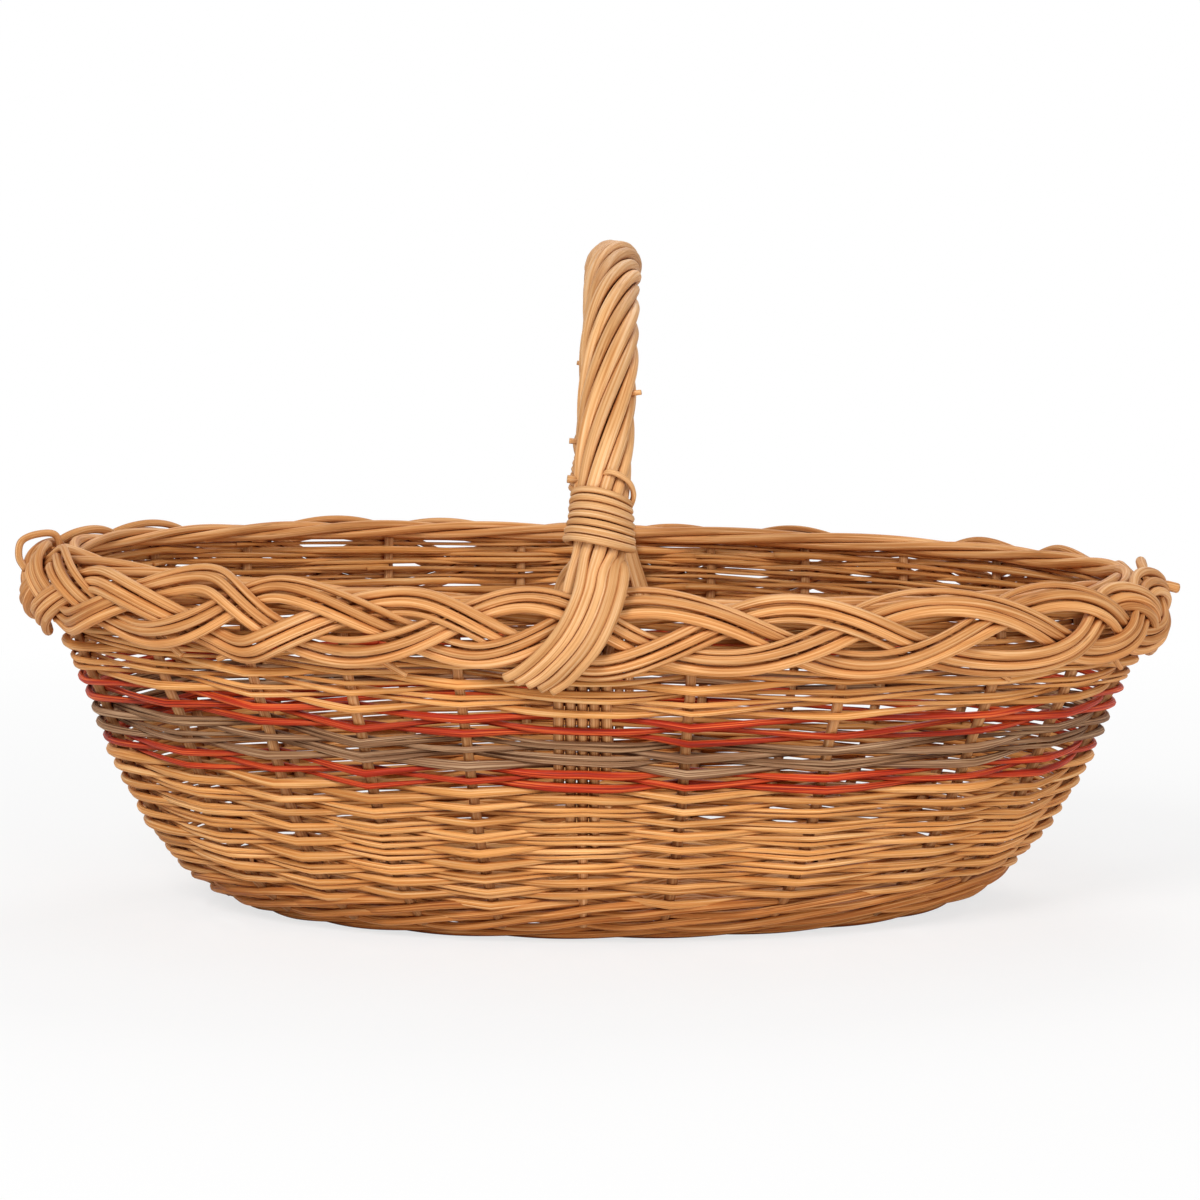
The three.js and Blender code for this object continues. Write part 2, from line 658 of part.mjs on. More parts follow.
function fanRoute(place) {
  const middle = FAN_REACH_SHARES.map((share, i) => (
    new THREE.Vector2(-share * FAN_REACH, -FAN_DROP_SHARES[i] * FAN_DROP)
  ));
  return middle.map((here, i) => {
    const before = middle[Math.max(i - 1, 0)];
    const after = middle[Math.min(i + 1, middle.length - 1)];
    const along = new THREE.Vector2().subVectors(after, before).normalize();
    const x = here.x - along.y * place * FAN_PITCH;
    const z = RIM_TOP + ROPING_START + here.y + along.x * place * FAN_PITCH;
    const level = Math.min(z, RIM_TOP);
    const rise = Math.max(z - RIM_TOP, 0) / ROPING_START;
    const offset = THREE.MathUtils.lerp(FAN_OFFSET, ROPING_RING, rise);
    const point = new THREE.Vector3(x, -wallDepth(x, Math.max(level, BORDER_MIDDLE), offset), z);
    return { point, reference: OUTWARD_AT_FRONT };
  });
}

function innerTailRoute(place) {
  const levels = [RIM_TOP, BORDER_MIDDLE, UPPER_SIDING_TOP, RIM_TOP - INNER_TAIL_LENGTH];
  return levels.map((z) => {
    const shift = LEG_SHIFT * THREE.MathUtils.clamp((RIM_TOP - z) / BORDER_HEIGHT, 0, 1);
    const x = place * FAN_PITCH - shift;
    const point = new THREE.Vector3(x, -wallDepth(x, z, INNER_TAIL_OFFSET), z);
    return { point, reference: OUTWARD_AT_FRONT };
  });
}

// Foot of the rod that stands at the given lattice step round the leg, from the leg downward
function footRoute(step) {
  const half = ROPING_COUNT / 2;
  const outer = (half - 1) / 2;
  let place = ((step % ROPING_COUNT) + ROPING_COUNT) % ROPING_COUNT;
  if (place > half) {
    place -= ROPING_COUNT;
  }
  if (Math.abs(place) <= outer) {
    return fanRoute(place);
  }
  const inner = place > 0 ? half - place : -half - place;
  return innerTailRoute(inner);
}

for (let i = 0; i < ROPING_COUNT; i += 1) {
  const arch = archStations.map((distance) => {
    const share = (distance - ROPING_START) / ropingLength;
    return roundArch(distance, ROPING_RING, (i / ROPING_COUNT) * FULL_TURN + share * ROPING_TWIST);
  });
  const frontFoot = footRoute(i).reverse();
  const backFoot = turnedRound(footRoute(-(i + ROPING_LATTICE_STEPS)));
  const route = [...frontFoot, ...arch, ...backFoot];
  const number = String(i + 1).padStart(2, '0');
  addPiece(`handle_roping_rod_${number}`, rodFromRoute(route, ROPING_RADIUS, ROPING_SIDES), PALE_WILLOW);
}

// Bindings: one rod wound round the foot of each leg just above the border
const BINDING_SIDES = 5;
const BINDING_CHORD = Math.cos(HALF_TURN / BINDING_STEPS);
const BINDING_RING = (ROPING_RING + ROPING_RADIUS + CLEARANCE + BINDING_RADIUS) / BINDING_CHORD;

function bindingRoute(atBack) {
  const route = [];
  for (let i = 0; i <= BINDING_TURNS * BINDING_STEPS; i += 1) {
    const turns = i / BINDING_STEPS;
    const climbed = ROPING_START + BINDING_RADIUS + turns * BINDING_PITCH;
    const distance = atBack ? ARCH_LENGTH - climbed : climbed;
    const turn = atBack ? -turns * FULL_TURN : turns * FULL_TURN;
    route.push(roundArch(distance, BINDING_RING, turn));
  }
  return route;
}

// Least clear distance between the turns of a wound rod
function leastGap(route, radius, stepsApart) {
  let least = Infinity;
  for (let i = 0; i < route.length; i += 1) {
    for (let j = i + stepsApart; j < route.length; j += 1) {
      least = Math.min(least, route[i].point.distanceTo(route[j].point));
    }
  }
  return least - 2 * radius;
}

const frontBinding = bindingRoute(false);
const backBinding = bindingRoute(true);
addPiece('handle_binding_front', rodFromRoute(frontBinding, BINDING_RADIUS, BINDING_SIDES), PALE_WILLOW);
addPiece('handle_binding_back', rodFromRoute(backBinding, BINDING_RADIUS, BINDING_SIDES), PALE_WILLOW);
const bindingGap = leastGap(frontBinding, BINDING_RADIUS, BINDING_STEPS / 2);
console.log(`Least gap between turns of the handle binding: ${bindingGap.toFixed(2)} mm`);

export default basket;
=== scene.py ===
"""Oval willow foraging basket: its rods, bands, plaited border and roped handle."""

import math

import bpy
import numpy as np
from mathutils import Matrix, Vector


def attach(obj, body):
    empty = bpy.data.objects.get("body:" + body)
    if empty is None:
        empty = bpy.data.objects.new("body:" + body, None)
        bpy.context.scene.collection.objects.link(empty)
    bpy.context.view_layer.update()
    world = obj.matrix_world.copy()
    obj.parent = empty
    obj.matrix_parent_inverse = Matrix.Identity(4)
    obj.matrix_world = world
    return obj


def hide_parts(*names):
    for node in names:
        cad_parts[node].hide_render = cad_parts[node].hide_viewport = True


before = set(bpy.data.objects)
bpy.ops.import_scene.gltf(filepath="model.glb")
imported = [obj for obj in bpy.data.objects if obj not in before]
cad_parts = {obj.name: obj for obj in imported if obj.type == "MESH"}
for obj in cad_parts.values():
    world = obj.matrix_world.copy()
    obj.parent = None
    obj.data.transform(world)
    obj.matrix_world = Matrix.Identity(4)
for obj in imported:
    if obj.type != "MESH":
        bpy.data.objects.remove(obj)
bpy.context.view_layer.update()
NOISE_SEED = 11
noise = np.random.default_rng(NOISE_SEED)

MM = 0.001
FULL_TURN = 2 * math.pi
HALF_TURN = math.pi
FULL_DEGREES = 360
DEGREE = FULL_TURN / FULL_DEGREES
UP = (0, 0, 1)
ALONG_X = (1, 0, 0)
ALONG_Y = (0, 1, 0)
FLATTENED = np.array([1, 1, 0])

# Driving sizes of the basket, as in the part's source
BASE_HALF_LENGTH = 176 * MM
BASE_HALF_WIDTH = 113 * MM
RIM_HALF_LENGTH = 264 * MM
RIM_HALF_WIDTH = 170 * MM
HANDLE_TOP = 325 * MM
RIM_TILT = 6.5 * MM
FOOT_TOP = 7 * MM
UPSETT_BOTTOM = 7.35 * MM
UPSETT_TOP = 19.95 * MM
SIDING_BELLY = 39.9 * MM
SIDING_SHOULDER = 58.7 * MM
LOWER_SIDING_TOP = 76.95 * MM
LOWER_RED_TOP = 86.95 * MM
GREY_TOP = 101.45 * MM
UPPER_RED_TOP = 112.95 * MM
UPPER_SIDING_TOP = 137.95 * MM
RIM_SIDING_TOP = 162.45 * MM
RIM_TOP = 170.95 * MM
FLARE_LEVELS = np.array([0, UPSETT_BOTTOM, UPSETT_TOP, SIDING_BELLY, SIDING_SHOULDER, LOWER_SIDING_TOP,
                         LOWER_RED_TOP, GREY_TOP, UPPER_RED_TOP, UPPER_SIDING_TOP, RIM_TOP])
FLARE_SHARES = np.array([0, 0.114, 0.304, 0.496, 0.625, 0.722, 0.769, 0.831, 0.895, 0.992, 1])
FLARE_SLOPES = np.gradient(FLARE_SHARES, FLARE_LEVELS)
FRONT_STAKE_DEGREES = [-163, -141.7, -127.6, -115.4, -103.6, -80.6, -64.6, -45.3, -30.5, -6]
STAKE_ANGLES = [degrees * DEGREE + turned for turned in (0, HALF_TURN) for degrees in FRONT_STAKE_DEGREES]
HANDLE_DEGREES = -91.4

STAKE_RADIUS = 2.4 * MM
CORE_RADIUS = 2.45 * MM
CORE_PITCH = 5.4 * MM
CORE_COUNT = 5
HANDLE_LEAN = 8 * MM
LEG_SHIFT = 6.4 * MM


# Curves and rows

def curve_through(places, values, slopes, wanted):
    """Values at the wanted places, on a smooth curve that has the given values and slopes."""
    i = np.clip(np.searchsorted(places, wanted) - 1, 0, len(places) - 2)
    step = places[i + 1] - places[i]
    t = (wanted - places[i]) / step
    keep = 2 * t ** 3 - 3 * t ** 2 + 1
    rise = t ** 3 - 2 * t ** 2 + t
    fall = t ** 3 - t ** 2
    return (keep * values[i] + (1 - keep) * values[i + 1]
            + (rise * slopes[i] + fall * slopes[i + 1]) * step)


def smooth_route(points, steps):
    """A smooth curve through a few points, cut into many short steps."""
    gaps = np.linalg.norm(np.diff(points, axis=0), axis=1)
    places = np.concatenate([[0], np.cumsum(gaps)])
    slopes = np.gradient(points, places, axis=0)
    wanted = np.linspace(0, places[-1], steps)
    columns = [curve_through(places, points[:, k], slopes[:, k], wanted) for k in range(3)]
    return np.stack(columns, axis=-1)


def ripple(place, shift, waves):
    """Sum of small sine waves; each has its count, how much the shift moves it, and its size."""
    return sum(size * np.sin(count * place + moved * shift) for count, moved, size in waves)


def row_place(number, count, pitch):
    """Place of one of a row of pieces with its middle at zero."""
    return (number - (count - 1) / 2) * pitch


def numbered(name, count, digits=1):
    return [f"{name}_{number + 1:0{digits}d}" for number in range(count)]


def unit(vectors):
    return vectors / np.linalg.norm(vectors, axis=-1, keepdims=True)


# Shape of the wall

def flare(z):
    """Share of the whole flare at a height."""
    z = np.clip(z, FLARE_LEVELS[0], FLARE_LEVELS[-1])
    return curve_through(FLARE_LEVELS, FLARE_SHARES, FLARE_SLOPES, z)


def half_length(z):
    return BASE_HALF_LENGTH + (RIM_HALF_LENGTH - BASE_HALF_LENGTH) * flare(z)


def half_width(z):
    return BASE_HALF_WIDTH + (RIM_HALF_WIDTH - BASE_HALF_WIDTH) * flare(z)


def wall_points(angle, z, offset):
    """Points on the wall at the given angles and heights, moved outward by the offsets."""
    x = (half_length(z) + offset) * np.cos(angle)
    y = (half_width(z) + offset) * np.sin(angle)
    return np.stack([x, y, np.broadcast_to(z, x.shape)], axis=-1)


def arc_per_angle(angle, z):
    return np.hypot(half_length(z) * np.sin(angle), half_width(z) * np.cos(angle))


def wall_depth(x, z, offset):
    share = x / (half_length(z) + offset)
    return (half_width(z) + offset) * np.sqrt(1 - share ** 2)


def outward(angle):
    return np.stack([np.cos(angle), np.sin(angle), np.zeros_like(angle)], axis=-1)


def tilted(verts):
    """The wall was woven a little higher at its -X end than at its +X end."""
    share = np.clip((verts[:, 2] - UPSETT_TOP) / (UPPER_SIDING_TOP - UPSETT_TOP), 0, 1)
    rise = -RIM_TILT * share * verts[:, 0] / RIM_HALF_LENGTH
    return verts + rise[:, None] * np.array(UP)


# Rods as meshes
THIN_ROD_SIDES = 8
WEAVER_SIDES = 9
ROD_SIDES = 10
THICK_ROD_SIDES = 12
ROD_UV = "rod_uv"
ROD_TINT_AND_SHADE = "rod_tint_and_shade"
END_UV_SHARE = 0.5


def new_object(name, data):
    thing = bpy.data.objects.new(name, data)
    bpy.context.scene.collection.objects.link(thing)
    return thing


class Rods:
    """Round rods gathered into one mesh, each with its length, its tint and its painted shade kept on it.
    """

    def __init__(self):
        self.verts = []
        self.faces = []
        self.uvs = []
        self.tints_and_shades = []
        self.count = 0

    def add(self, route, references, radii, sides=ROD_SIDES, closed=False, flatten=None, shade=None):
        steps = len(route)
        references = np.broadcast_to(references, route.shape)
        radii = np.broadcast_to(radii, steps)
        flatten = np.ones(steps) if flatten is None else flatten
        shade = np.ones(steps) if shade is None else shade
        if closed:
            tangents = np.roll(route, -1, axis=0) - np.roll(route, 1, axis=0)
        else:
            tangents = np.gradient(route, axis=0)
        tangents = unit(tangents)
        side = unit(np.cross(tangents, references))
        lift = np.cross(side, tangents)
        turn = np.arange(sides) / sides * FULL_TURN
        ring = (lift[:, None, :] * np.cos(turn)[None, :, None] * radii[:, None, None]
                + side[:, None, :] * np.sin(turn)[None, :, None]
                * (radii * flatten)[:, None, None])
        self.verts.append((route[:, None, :] + ring).reshape(-1, 3))
        self.skin(route, sides, closed)
        seed = noise.random()
        warmth = noise.random()
        self.tints_and_shades.append(np.stack([np.repeat(shade, sides), np.full(steps * sides, seed),
                                    np.full(steps * sides, warmth), np.ones(steps * sides)], axis=-1))
        self.count += steps * sides

    def skin(self, route, sides, closed):
        """Faces between the rings of a rod, and over its ends where it has ends."""
        steps = len(route)
        start = self.count
        gaps = np.linalg.norm(np.diff(route, axis=0), axis=1)
        along = np.concatenate([[0], np.cumsum(gaps)])
        if closed:
            along = np.append(along, along[-1] + np.linalg.norm(route[0] - route[-1]))
        for i in range(steps if closed else steps - 1):
            here = start + i * sides
            there = start + ((i + 1) % steps) * sides
            for j in range(sides):
                k = (j + 1) % sides
                self.faces.append((here + j, here + k, there + k, there + j))
                low = j / sides
                high = (j + 1) / sides
                self.uvs.extend([(along[i], low), (along[i], high),
                                 (along[i + 1], high), (along[i + 1], low)])
        if not closed:
            last = start + (steps - 1) * sides
            self.faces.append(tuple(reversed(range(start, start + sides))))
            self.faces.append(tuple(range(last, last + sides)))
            self.uvs.extend([(0, END_UV_SHARE)] * sides)
            self.uvs.extend([(along[-1], END_UV_SHARE)] * sides)

    def build(self, name, material, nodes):
        mesh = bpy.data.meshes.new(name)
        verts = tilted(np.concatenate(self.verts))
        mesh.from_pydata(verts.tolist(), [], self.faces)
        layer = mesh.uv_layers.new(name=ROD_UV)
        layer.data.foreach_set("uv", np.array(self.uvs, dtype=np.float32).ravel())
        tint_and_shade = mesh.color_attributes.new(name=ROD_TINT_AND_SHADE, type="FLOAT_COLOR", domain="POINT")
        tint_and_shade.data.foreach_set("color", np.concatenate(self.tints_and_shades).astype(np.float32).ravel())
        mesh.validate()
        mesh.update()
        mesh.shade_smooth()
        mesh.materials.append(material)
        piece = new_object(name, mesh)
        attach(piece, "root")
        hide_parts(*nodes)


# Shader nodes
WHITE = (1, 1, 1, 1)
RAMP_MIDDLE_SHARE = 0.5
MIX_SHARE = 0
MIX_FIRST = 6
MIX_SECOND = 7
MIX_RESULT = 2


class Nodes:
    """Shader nodes of one material or world, made and linked in few words."""

    def __init__(self, owner):
        owner.use_nodes = True
        self.nodes = owner.node_tree.nodes
        self.links = owner.node_tree.links

    def add(self, kind, **settings):
        node = self.nodes.new(kind)
        for key, value in settings.items():
            setattr(node, key, value)
        return node

    def feed(self, socket, value):
        """Link another node's output to a socket, or set the socket to a value."""
        if isinstance(value, bpy.types.NodeSocket):
            self.links.new(value, socket)
        else:
            socket.default_value = value

    def maths(self, operation, first, second=0.0):
        node = self.add("ShaderNodeMath", operation=operation)
        self.feed(node.inputs[0], first)
        self.feed(node.inputs[1], second)
        return node.outputs[0]

    def ramp(self, source, stops):
        node = self.add("ShaderNodeValToRGB")
        while len(node.color_ramp.elements) < len(stops):
            node.color_ramp.elements.new(RAMP_MIDDLE_SHARE)
        for element, (place, color) in zip(node.color_ramp.elements, stops):
            element.position = place
            element.color = color
        self.feed(node.inputs[0], source)
        return node.outputs[0]

    def multiply(self, share, first, second):
        """First colour times a share of the second."""
        node = self.add("ShaderNodeMix", data_type="RGBA", blend_type="MULTIPLY")
        self.feed(node.inputs[MIX_SHARE], share)
        self.feed(node.inputs[MIX_FIRST], first)
        self.feed(node.inputs[MIX_SECOND], second)
        return node.outputs[MIX_RESULT]

    def moved_range(self, value, before, after):
        """A value of one range moved to its place in another."""
        node = self.add("ShaderNodeMapRange")
        self.feed(node.inputs["Value"], value)
        for name, bound in zip(("From Min", "From Max", "To Min", "To Max"), before + after):
            self.feed(node.inputs[name], bound)
        return node.outputs[0]


# Willow patterns and painted shade in crevices and on shaded rods: scales along and round a rod, their
# detail, and stops of the ramps
STREAK_SCALES = (18.0, 3.2, 4.0)
BLOTCH_SCALES = (26.0, 0.5, 2.0)
FINE_SCALES = (160.0, 7.0, 3.0)
SCAR_SCALES = (30.0, 0.75)
SCAR_RANDOM_SHARE = 0.8
SEED_SHIFT = 40.0
STREAK_STOP_SHARES = (0.28, 0.5, 0.72)
ROD_TONE_SHARE = 0.8
ROD_TONE_STOPS = [(0.0, (0.80, 0.74, 0.66, 1)), (0.5, WHITE), (1.0, (1.12, 1.1, 1.06, 1))]
BLOTCH_STOPS = [(0.34, (0.72, 0.62, 0.5, 1)), (0.5, WHITE)]
SCAR_STOPS = [(0.05, (0.3, 0.19, 0.11, 1)), (0.13, WHITE)]
# Painted shade: this ramp darkens a rod by the shade value kept on it
SHADE_STOPS = [(0.0, (0.3, 0.2, 0.13, 1)), (1.0, WHITE)]
# Painted crevice shade: how far the ambient occlusion looks, and how dark it makes a rod
CREVICE_SHADE_SAMPLES = 6
CREVICE_SHADE_REACH = 5 * MM
CREVICE_SHADE_STOPS = [(0.12, (0.17, 0.042, 0.01, 1)), (0.38, (0.7, 0.46, 0.29, 1)), (0.62, WHITE)]
ROUGHNESS_CHANGES = [(0.3, -0.1), (0.7, 0.14)]
WILLOW_SPECULAR = 0.2
RIDGE_HEIGHT = 0.4 * MM
FINE_RIDGE_SHARE = 0.6
STREAK_RIDGE_SHARE = 0.8
SCAR_RIDGE_SHARE = 0.15


def rod_space(nodes, along, around, length_scale, round_scale):
    """Place on a rod for a pattern with these scales, without a seam along the rod."""
    place = nodes.add("ShaderNodeCombineXYZ")
    nodes.feed(place.inputs[0], nodes.maths("MULTIPLY", along, length_scale))
    for socket, wave in zip(place.inputs[1:], ("COSINE", "SINE")):
        nodes.feed(socket, nodes.maths("MULTIPLY", nodes.maths(wave, around), round_scale))
    return place.outputs[0]


def rod_clouds(nodes, along, around, length_scale, round_scale, detail):
    clouds = nodes.add("ShaderNodeTexNoise")
    nodes.feed(clouds.inputs["Vector"], rod_space(nodes, along, around, length_scale, round_scale))
    nodes.feed(clouds.inputs["Scale"], 1.0)
    nodes.feed(clouds.inputs["Detail"], detail)
    return clouds.outputs[0]


def willow(name, tones, roughness=0.55, spots=0.5, mottle=0.5, grain=0.5):
    """Willow rod: lengthwise streaks, blotches, bud scars and a fine grain, varied rod by rod, with
    painted shade from the shade value kept on each rod and in the crevices between rods.
    """
    material = bpy.data.materials.new(name)
    nodes = Nodes(material)
    surface = nodes.nodes["Principled BSDF"].inputs
    uv = nodes.add("ShaderNodeUVMap", uv_map=ROD_UV)
    parts = nodes.add("ShaderNodeSeparateXYZ")
    nodes.feed(parts.inputs[0], uv.outputs[0])
    tint_and_shade = nodes.add("ShaderNodeAttribute", attribute_name=ROD_TINT_AND_SHADE)
    tints_and_shades = nodes.add("ShaderNodeSeparateColor")
    nodes.feed(tints_and_shades.inputs[0], tint_and_shade.outputs[0])
    shade, seed, warmth = tints_and_shades.outputs
    along = nodes.maths("ADD", parts.outputs[0], nodes.maths("MULTIPLY", seed, SEED_SHIFT))
    around = nodes.maths("MULTIPLY", parts.outputs[1], FULL_TURN)

    streaks = rod_clouds(nodes, along, around, *STREAK_SCALES)
    blotches = rod_clouds(nodes, along, around, *BLOTCH_SCALES)
    fine = rod_clouds(nodes, along, around, *FINE_SCALES)
    scars = nodes.add("ShaderNodeTexVoronoi", feature="F1")
    nodes.feed(scars.inputs["Vector"], rod_space(nodes, along, around, *SCAR_SCALES))
    nodes.feed(scars.inputs["Scale"], 1.0)
    nodes.feed(scars.inputs["Randomness"], SCAR_RANDOM_SHARE)
    scar = scars.outputs["Distance"]
    # Painted shade: ambient occlusion darkens a rod where other rods close round it
    crevice_shade = nodes.add("ShaderNodeAmbientOcclusion", samples=CREVICE_SHADE_SAMPLES)
    nodes.feed(crevice_shade.inputs["Distance"], CREVICE_SHADE_REACH)

    color = nodes.ramp(streaks, list(zip(STREAK_STOP_SHARES, tones)))
    layers = [(ROD_TONE_SHARE, warmth, ROD_TONE_STOPS), (mottle, blotches, BLOTCH_STOPS),
              (spots, scar, SCAR_STOPS), (1.0, shade, SHADE_STOPS),
              (1.0, crevice_shade.outputs["AO"], CREVICE_SHADE_STOPS)]
    for share, source, stops in layers:
        color = nodes.multiply(share, color, nodes.ramp(source, stops))
    nodes.feed(surface["Base Color"], color)

    rough_stops = [(place, (roughness + change,) * 3 + (1,)) for place, change in ROUGHNESS_CHANGES]
    nodes.feed(surface["Roughness"], nodes.ramp(fine, rough_stops))
    nodes.feed(surface["Specular IOR Level"], WILLOW_SPECULAR)
    height = nodes.maths("ADD", nodes.maths("MULTIPLY", fine, FINE_RIDGE_SHARE),
                         nodes.maths("MULTIPLY", streaks, STREAK_RIDGE_SHARE))
    height = nodes.maths("ADD", height, nodes.maths("MULTIPLY", scar, SCAR_RIDGE_SHARE))
    ridges = nodes.add("ShaderNodeBump")
    nodes.feed(ridges.inputs["Strength"], grain)
    nodes.feed(ridges.inputs["Distance"], RIDGE_HEIGHT)
    nodes.feed(ridges.inputs["Height"], height)
    nodes.feed(surface["Normal"], ridges.outputs[0])
    return material


def tone(red, green, blue):
    """Linear colour from display values out of 255."""
    def linear(value):
        value = value / 255
        return value / 12.92 if value <= 0.04045 else ((value + 0.055) / 1.055) ** 2.4
    return (linear(red), linear(green), linear(blue), 1)


# Willow materials: each has a dark, a middle and a light tone
BUFF = willow("buff_willow_rods", (tone(186, 108, 46), tone(226, 160, 90), tone(250, 208, 152)),
              spots=0.6, mottle=0.6)
BORDER_BUFF = willow("border_willow_rods",
                     (tone(180, 110, 54), tone(214, 152, 92), tone(240, 194, 142)), spots=0.45)
INNER_BUFF = willow("stake_willow_rods",
                    (tone(178, 118, 70), tone(212, 158, 104), tone(234, 190, 142)))
WALE = willow("wale_willow_rods", (tone(140, 72, 26), tone(196, 124, 60), tone(236, 182, 120)))
RED = willow("red_willow_rods", (tone(96, 12, 4), tone(186, 50, 18), tone(246, 128, 64)),
             roughness=0.5, spots=0.3)
GREY = willow("grey_willow_rods", (tone(74, 42, 26), tone(150, 110, 78), tone(220, 184, 146)),
              roughness=0.65, spots=0.7, mottle=0.7, grain=0.8)
PALE = willow("handle_willow_rods", (tone(190, 128, 72), tone(221, 168, 112), tone(238, 198, 154)),
              spots=0.4)

# Uprights: the stakes and, under each leg of the handle, the row of its core rods
CORE_ENDS = np.array([78, 58, 9, 50, 84]) * MM
CORE_ROW_HALF = (CORE_COUNT - 1) / 2 * CORE_PITCH
uprights = [(angle, 0.0) for angle in STAKE_ANGLES]
uprights += [(HANDLE_DEGREES * DEGREE + turned, CORE_ROW_HALF) for turned in (0, HALF_TURN)]
uprights.sort()
upright_angles = np.array([angle for angle, half in uprights])
upright_halves = np.array([half for angle, half in uprights])
UPRIGHT_COUNT = len(uprights)


def half_row(i, z):
    """Half width of an upright: the handle's row of rods narrows as its rods end lower down."""
    reaching = sum(1 for end in CORE_ENDS if end <= z)
    share = (reaching - 1) / (CORE_COUNT - 1)
    return upright_halves[i] * max(share, 0)


def upright_span(i):
    """Angles of an upright and of the next one round the basket."""
    low = upright_angles[i]
    high = upright_angles[(i + 1) % UPRIGHT_COUNT]
    return low, high if high > low else high + FULL_TURN


# Rise and fall of the courses: waves round the basket, with their lean and share, and random dips
WOBBLE_WAVES = ((3, 55, 0.5), (5, -80, 0.35), (8, 120, 0.25))
DIP_SIZE = 1.7 * MM
DIP_LEVEL_COUNT = 6
DIP_LEVELS = np.linspace(0, RIM_TOP, DIP_LEVEL_COUNT)
DIP_ANGLES = np.concatenate([upright_angles, [upright_angles[0] + FULL_TURN]])
dips = noise.uniform(-1, 1, (len(DIP_LEVELS), UPRIGHT_COUNT))
dips = np.concatenate([dips, dips[:, :1]], axis=1)
SINK_SHARES = (0.3, 1.5)
sharpness = noise.uniform(*SINK_SHARES, UPRIGHT_COUNT)


def wobble(angle, z, size):
    """Rise and fall of the courses round the basket, alike in neighbouring rows, with kinks at
    the uprights."""
    total = sum(share * np.sin(waves * angle + lean * z + waves) for waves, lean, share in WOBBLE_WAVES)
    place = np.clip(z / RIM_TOP, 0, 1) * (len(DIP_LEVELS) - 1)
    low = min(int(place), len(DIP_LEVELS) - 2)
    level_dips = dips[low] + (dips[low + 1] - dips[low]) * (place - low)
    turned = (angle - DIP_ANGLES[0]) % FULL_TURN + DIP_ANGLES[0]
    return size * total + DIP_SIZE * np.interp(turned, DIP_ANGLES, level_dips)


# Weavers: rods that pass outside one upright and inside the next
STEP_LENGTH = 4 * MM
LEAST_STEPS = 4
STRAIGHT_SHARE = 0.4
INSIDE_SHADE_SHARE = 0.22


def weave_route(z, radius, first_side, start, intervals, sink, wave, lift):
    """One weaver from inside an upright, alternately outside and inside the next ones. It sinks
    where it passes outside an upright and rises where it passes inside one."""
    points = []
    shades = []
    closeness = []
    for step in range(intervals):
        i = (start + step) % UPRIGHT_COUNT
        j = (i + 1) % UPRIGHT_COUNT
        low, high = upright_span(i)
        length = float(arc_per_angle((low + high) / 2, z)) * (high - low)
        count = max(LEAST_STEPS, int(length / STEP_LENGTH))
        share = np.arange(count) / count
        leave = half_row(i, z) / length
        arrive = 1 - half_row(j, z) / length
        turn = np.clip((share - leave) / (arrive - leave), 0, 1)
        side = first_side * (-1) ** i
        across = side * np.cos(HALF_TURN * turn)
        straight = side * (1 - 2 * turn)
        angle = low + share * (high - low)
        depth = (STAKE_RADIUS + radius) * (across + (straight - across) * STRAIGHT_SHARE)
        sinking = sink * straight * (sharpness[i] + (sharpness[j] - sharpness[i]) * turn)
        height = z + lift - sinking + wobble(angle, z, wave)
        points.append(wall_points(angle, height, depth))
        # Painted shade: the weaver is darker where it passes inside an upright
        shades.append(1 - INSIDE_SHADE_SHARE * (1 - across) / 2)
        closeness.append(np.abs(across))
    return np.concatenate(points), np.concatenate(shades), np.concatenate(closeness)


RODS_PER_ROW = 2
ROD_OVERLAP = 3
OVERLAP_CHOICES = 3
ROW_LIFT = 0.35 * MM
THICK_END_SHARES = (0.98, 1.2)
THIN_END_SHARES = (0.7, 0.9)
BUMP_WAVES = ((31, 9, 0.06), (57, 0, 0.04))
SWAY = 0.45 * MM
SWAY_COUNT = 24
TAIL_SHARE = 0.035
TAIL_DEPTH_SHARE = 1.8
SQUEEZE_SHARE = 0.2
FOOT_SHADE_LEVELS = [UPSETT_TOP, 2 * UPSETT_TOP]
FOOT_SHADE_SHARES = [0.8, 1]


def weave_row(rods, z, radius, first_side, sink, wave):
    """One row of weavers: each rod starts and ends inside the wall, thick end over thin end."""
    inside = [i for i in range(UPRIGHT_COUNT) if first_side * (-1) ** i < 0]
    first = inside[noise.integers(len(inside))]
    span = UPRIGHT_COUNT // RODS_PER_ROW
    span += span % 2
    starts = [first + k * span for k in range(RODS_PER_ROW)]
    ends = starts[1:] + [first + UPRIGHT_COUNT]
    for start, end in zip(starts, ends):
        lift = noise.uniform(-ROW_LIFT, ROW_LIFT)
        rod = weave_route(z, radius, first_side, start, end - start, sink, wave, lift)
        after = weave_route(z, radius, first_side, end, 1, sink, wave, lift)
        tail = ROD_OVERLAP + int(noise.integers(OVERLAP_CHOICES))
        route, shade, close = (np.concatenate([kept, more[:tail]]) for kept, more in zip(rod, after))
        thick = radius * noise.uniform(*THICK_END_SHARES)
        thin = radius * noise.uniform(*THIN_END_SHARES)
        shares = np.linspace(0, 1, len(route))
        radii = np.linspace(thick, thin, len(route)) * (1 + ripple(shares, lift / MM, BUMP_WAVES))
        sways = noise.uniform(-SWAY, SWAY, SWAY_COUNT)
        route[:, 2] += np.interp(shares, np.linspace(0, 1, SWAY_COUNT), sways)
        away = np.clip((shares - 1 + TAIL_SHARE) / TAIL_SHARE, 0, 1)
        route = route - unit(route * FLATTENED) * (away * TAIL_DEPTH_SHARE * radius)[:, None]
        flatten = 1 - SQUEEZE_SHARE * (1 - close)
        # Painted shade: rows near the foot are darker
        shade = shade * np.interp(z, FOOT_SHADE_LEVELS, FOOT_SHADE_SHARES)
        rods.add(route, unit(route * FLATTENED), radii, sides=WEAVER_SIDES, flatten=flatten, shade=shade)


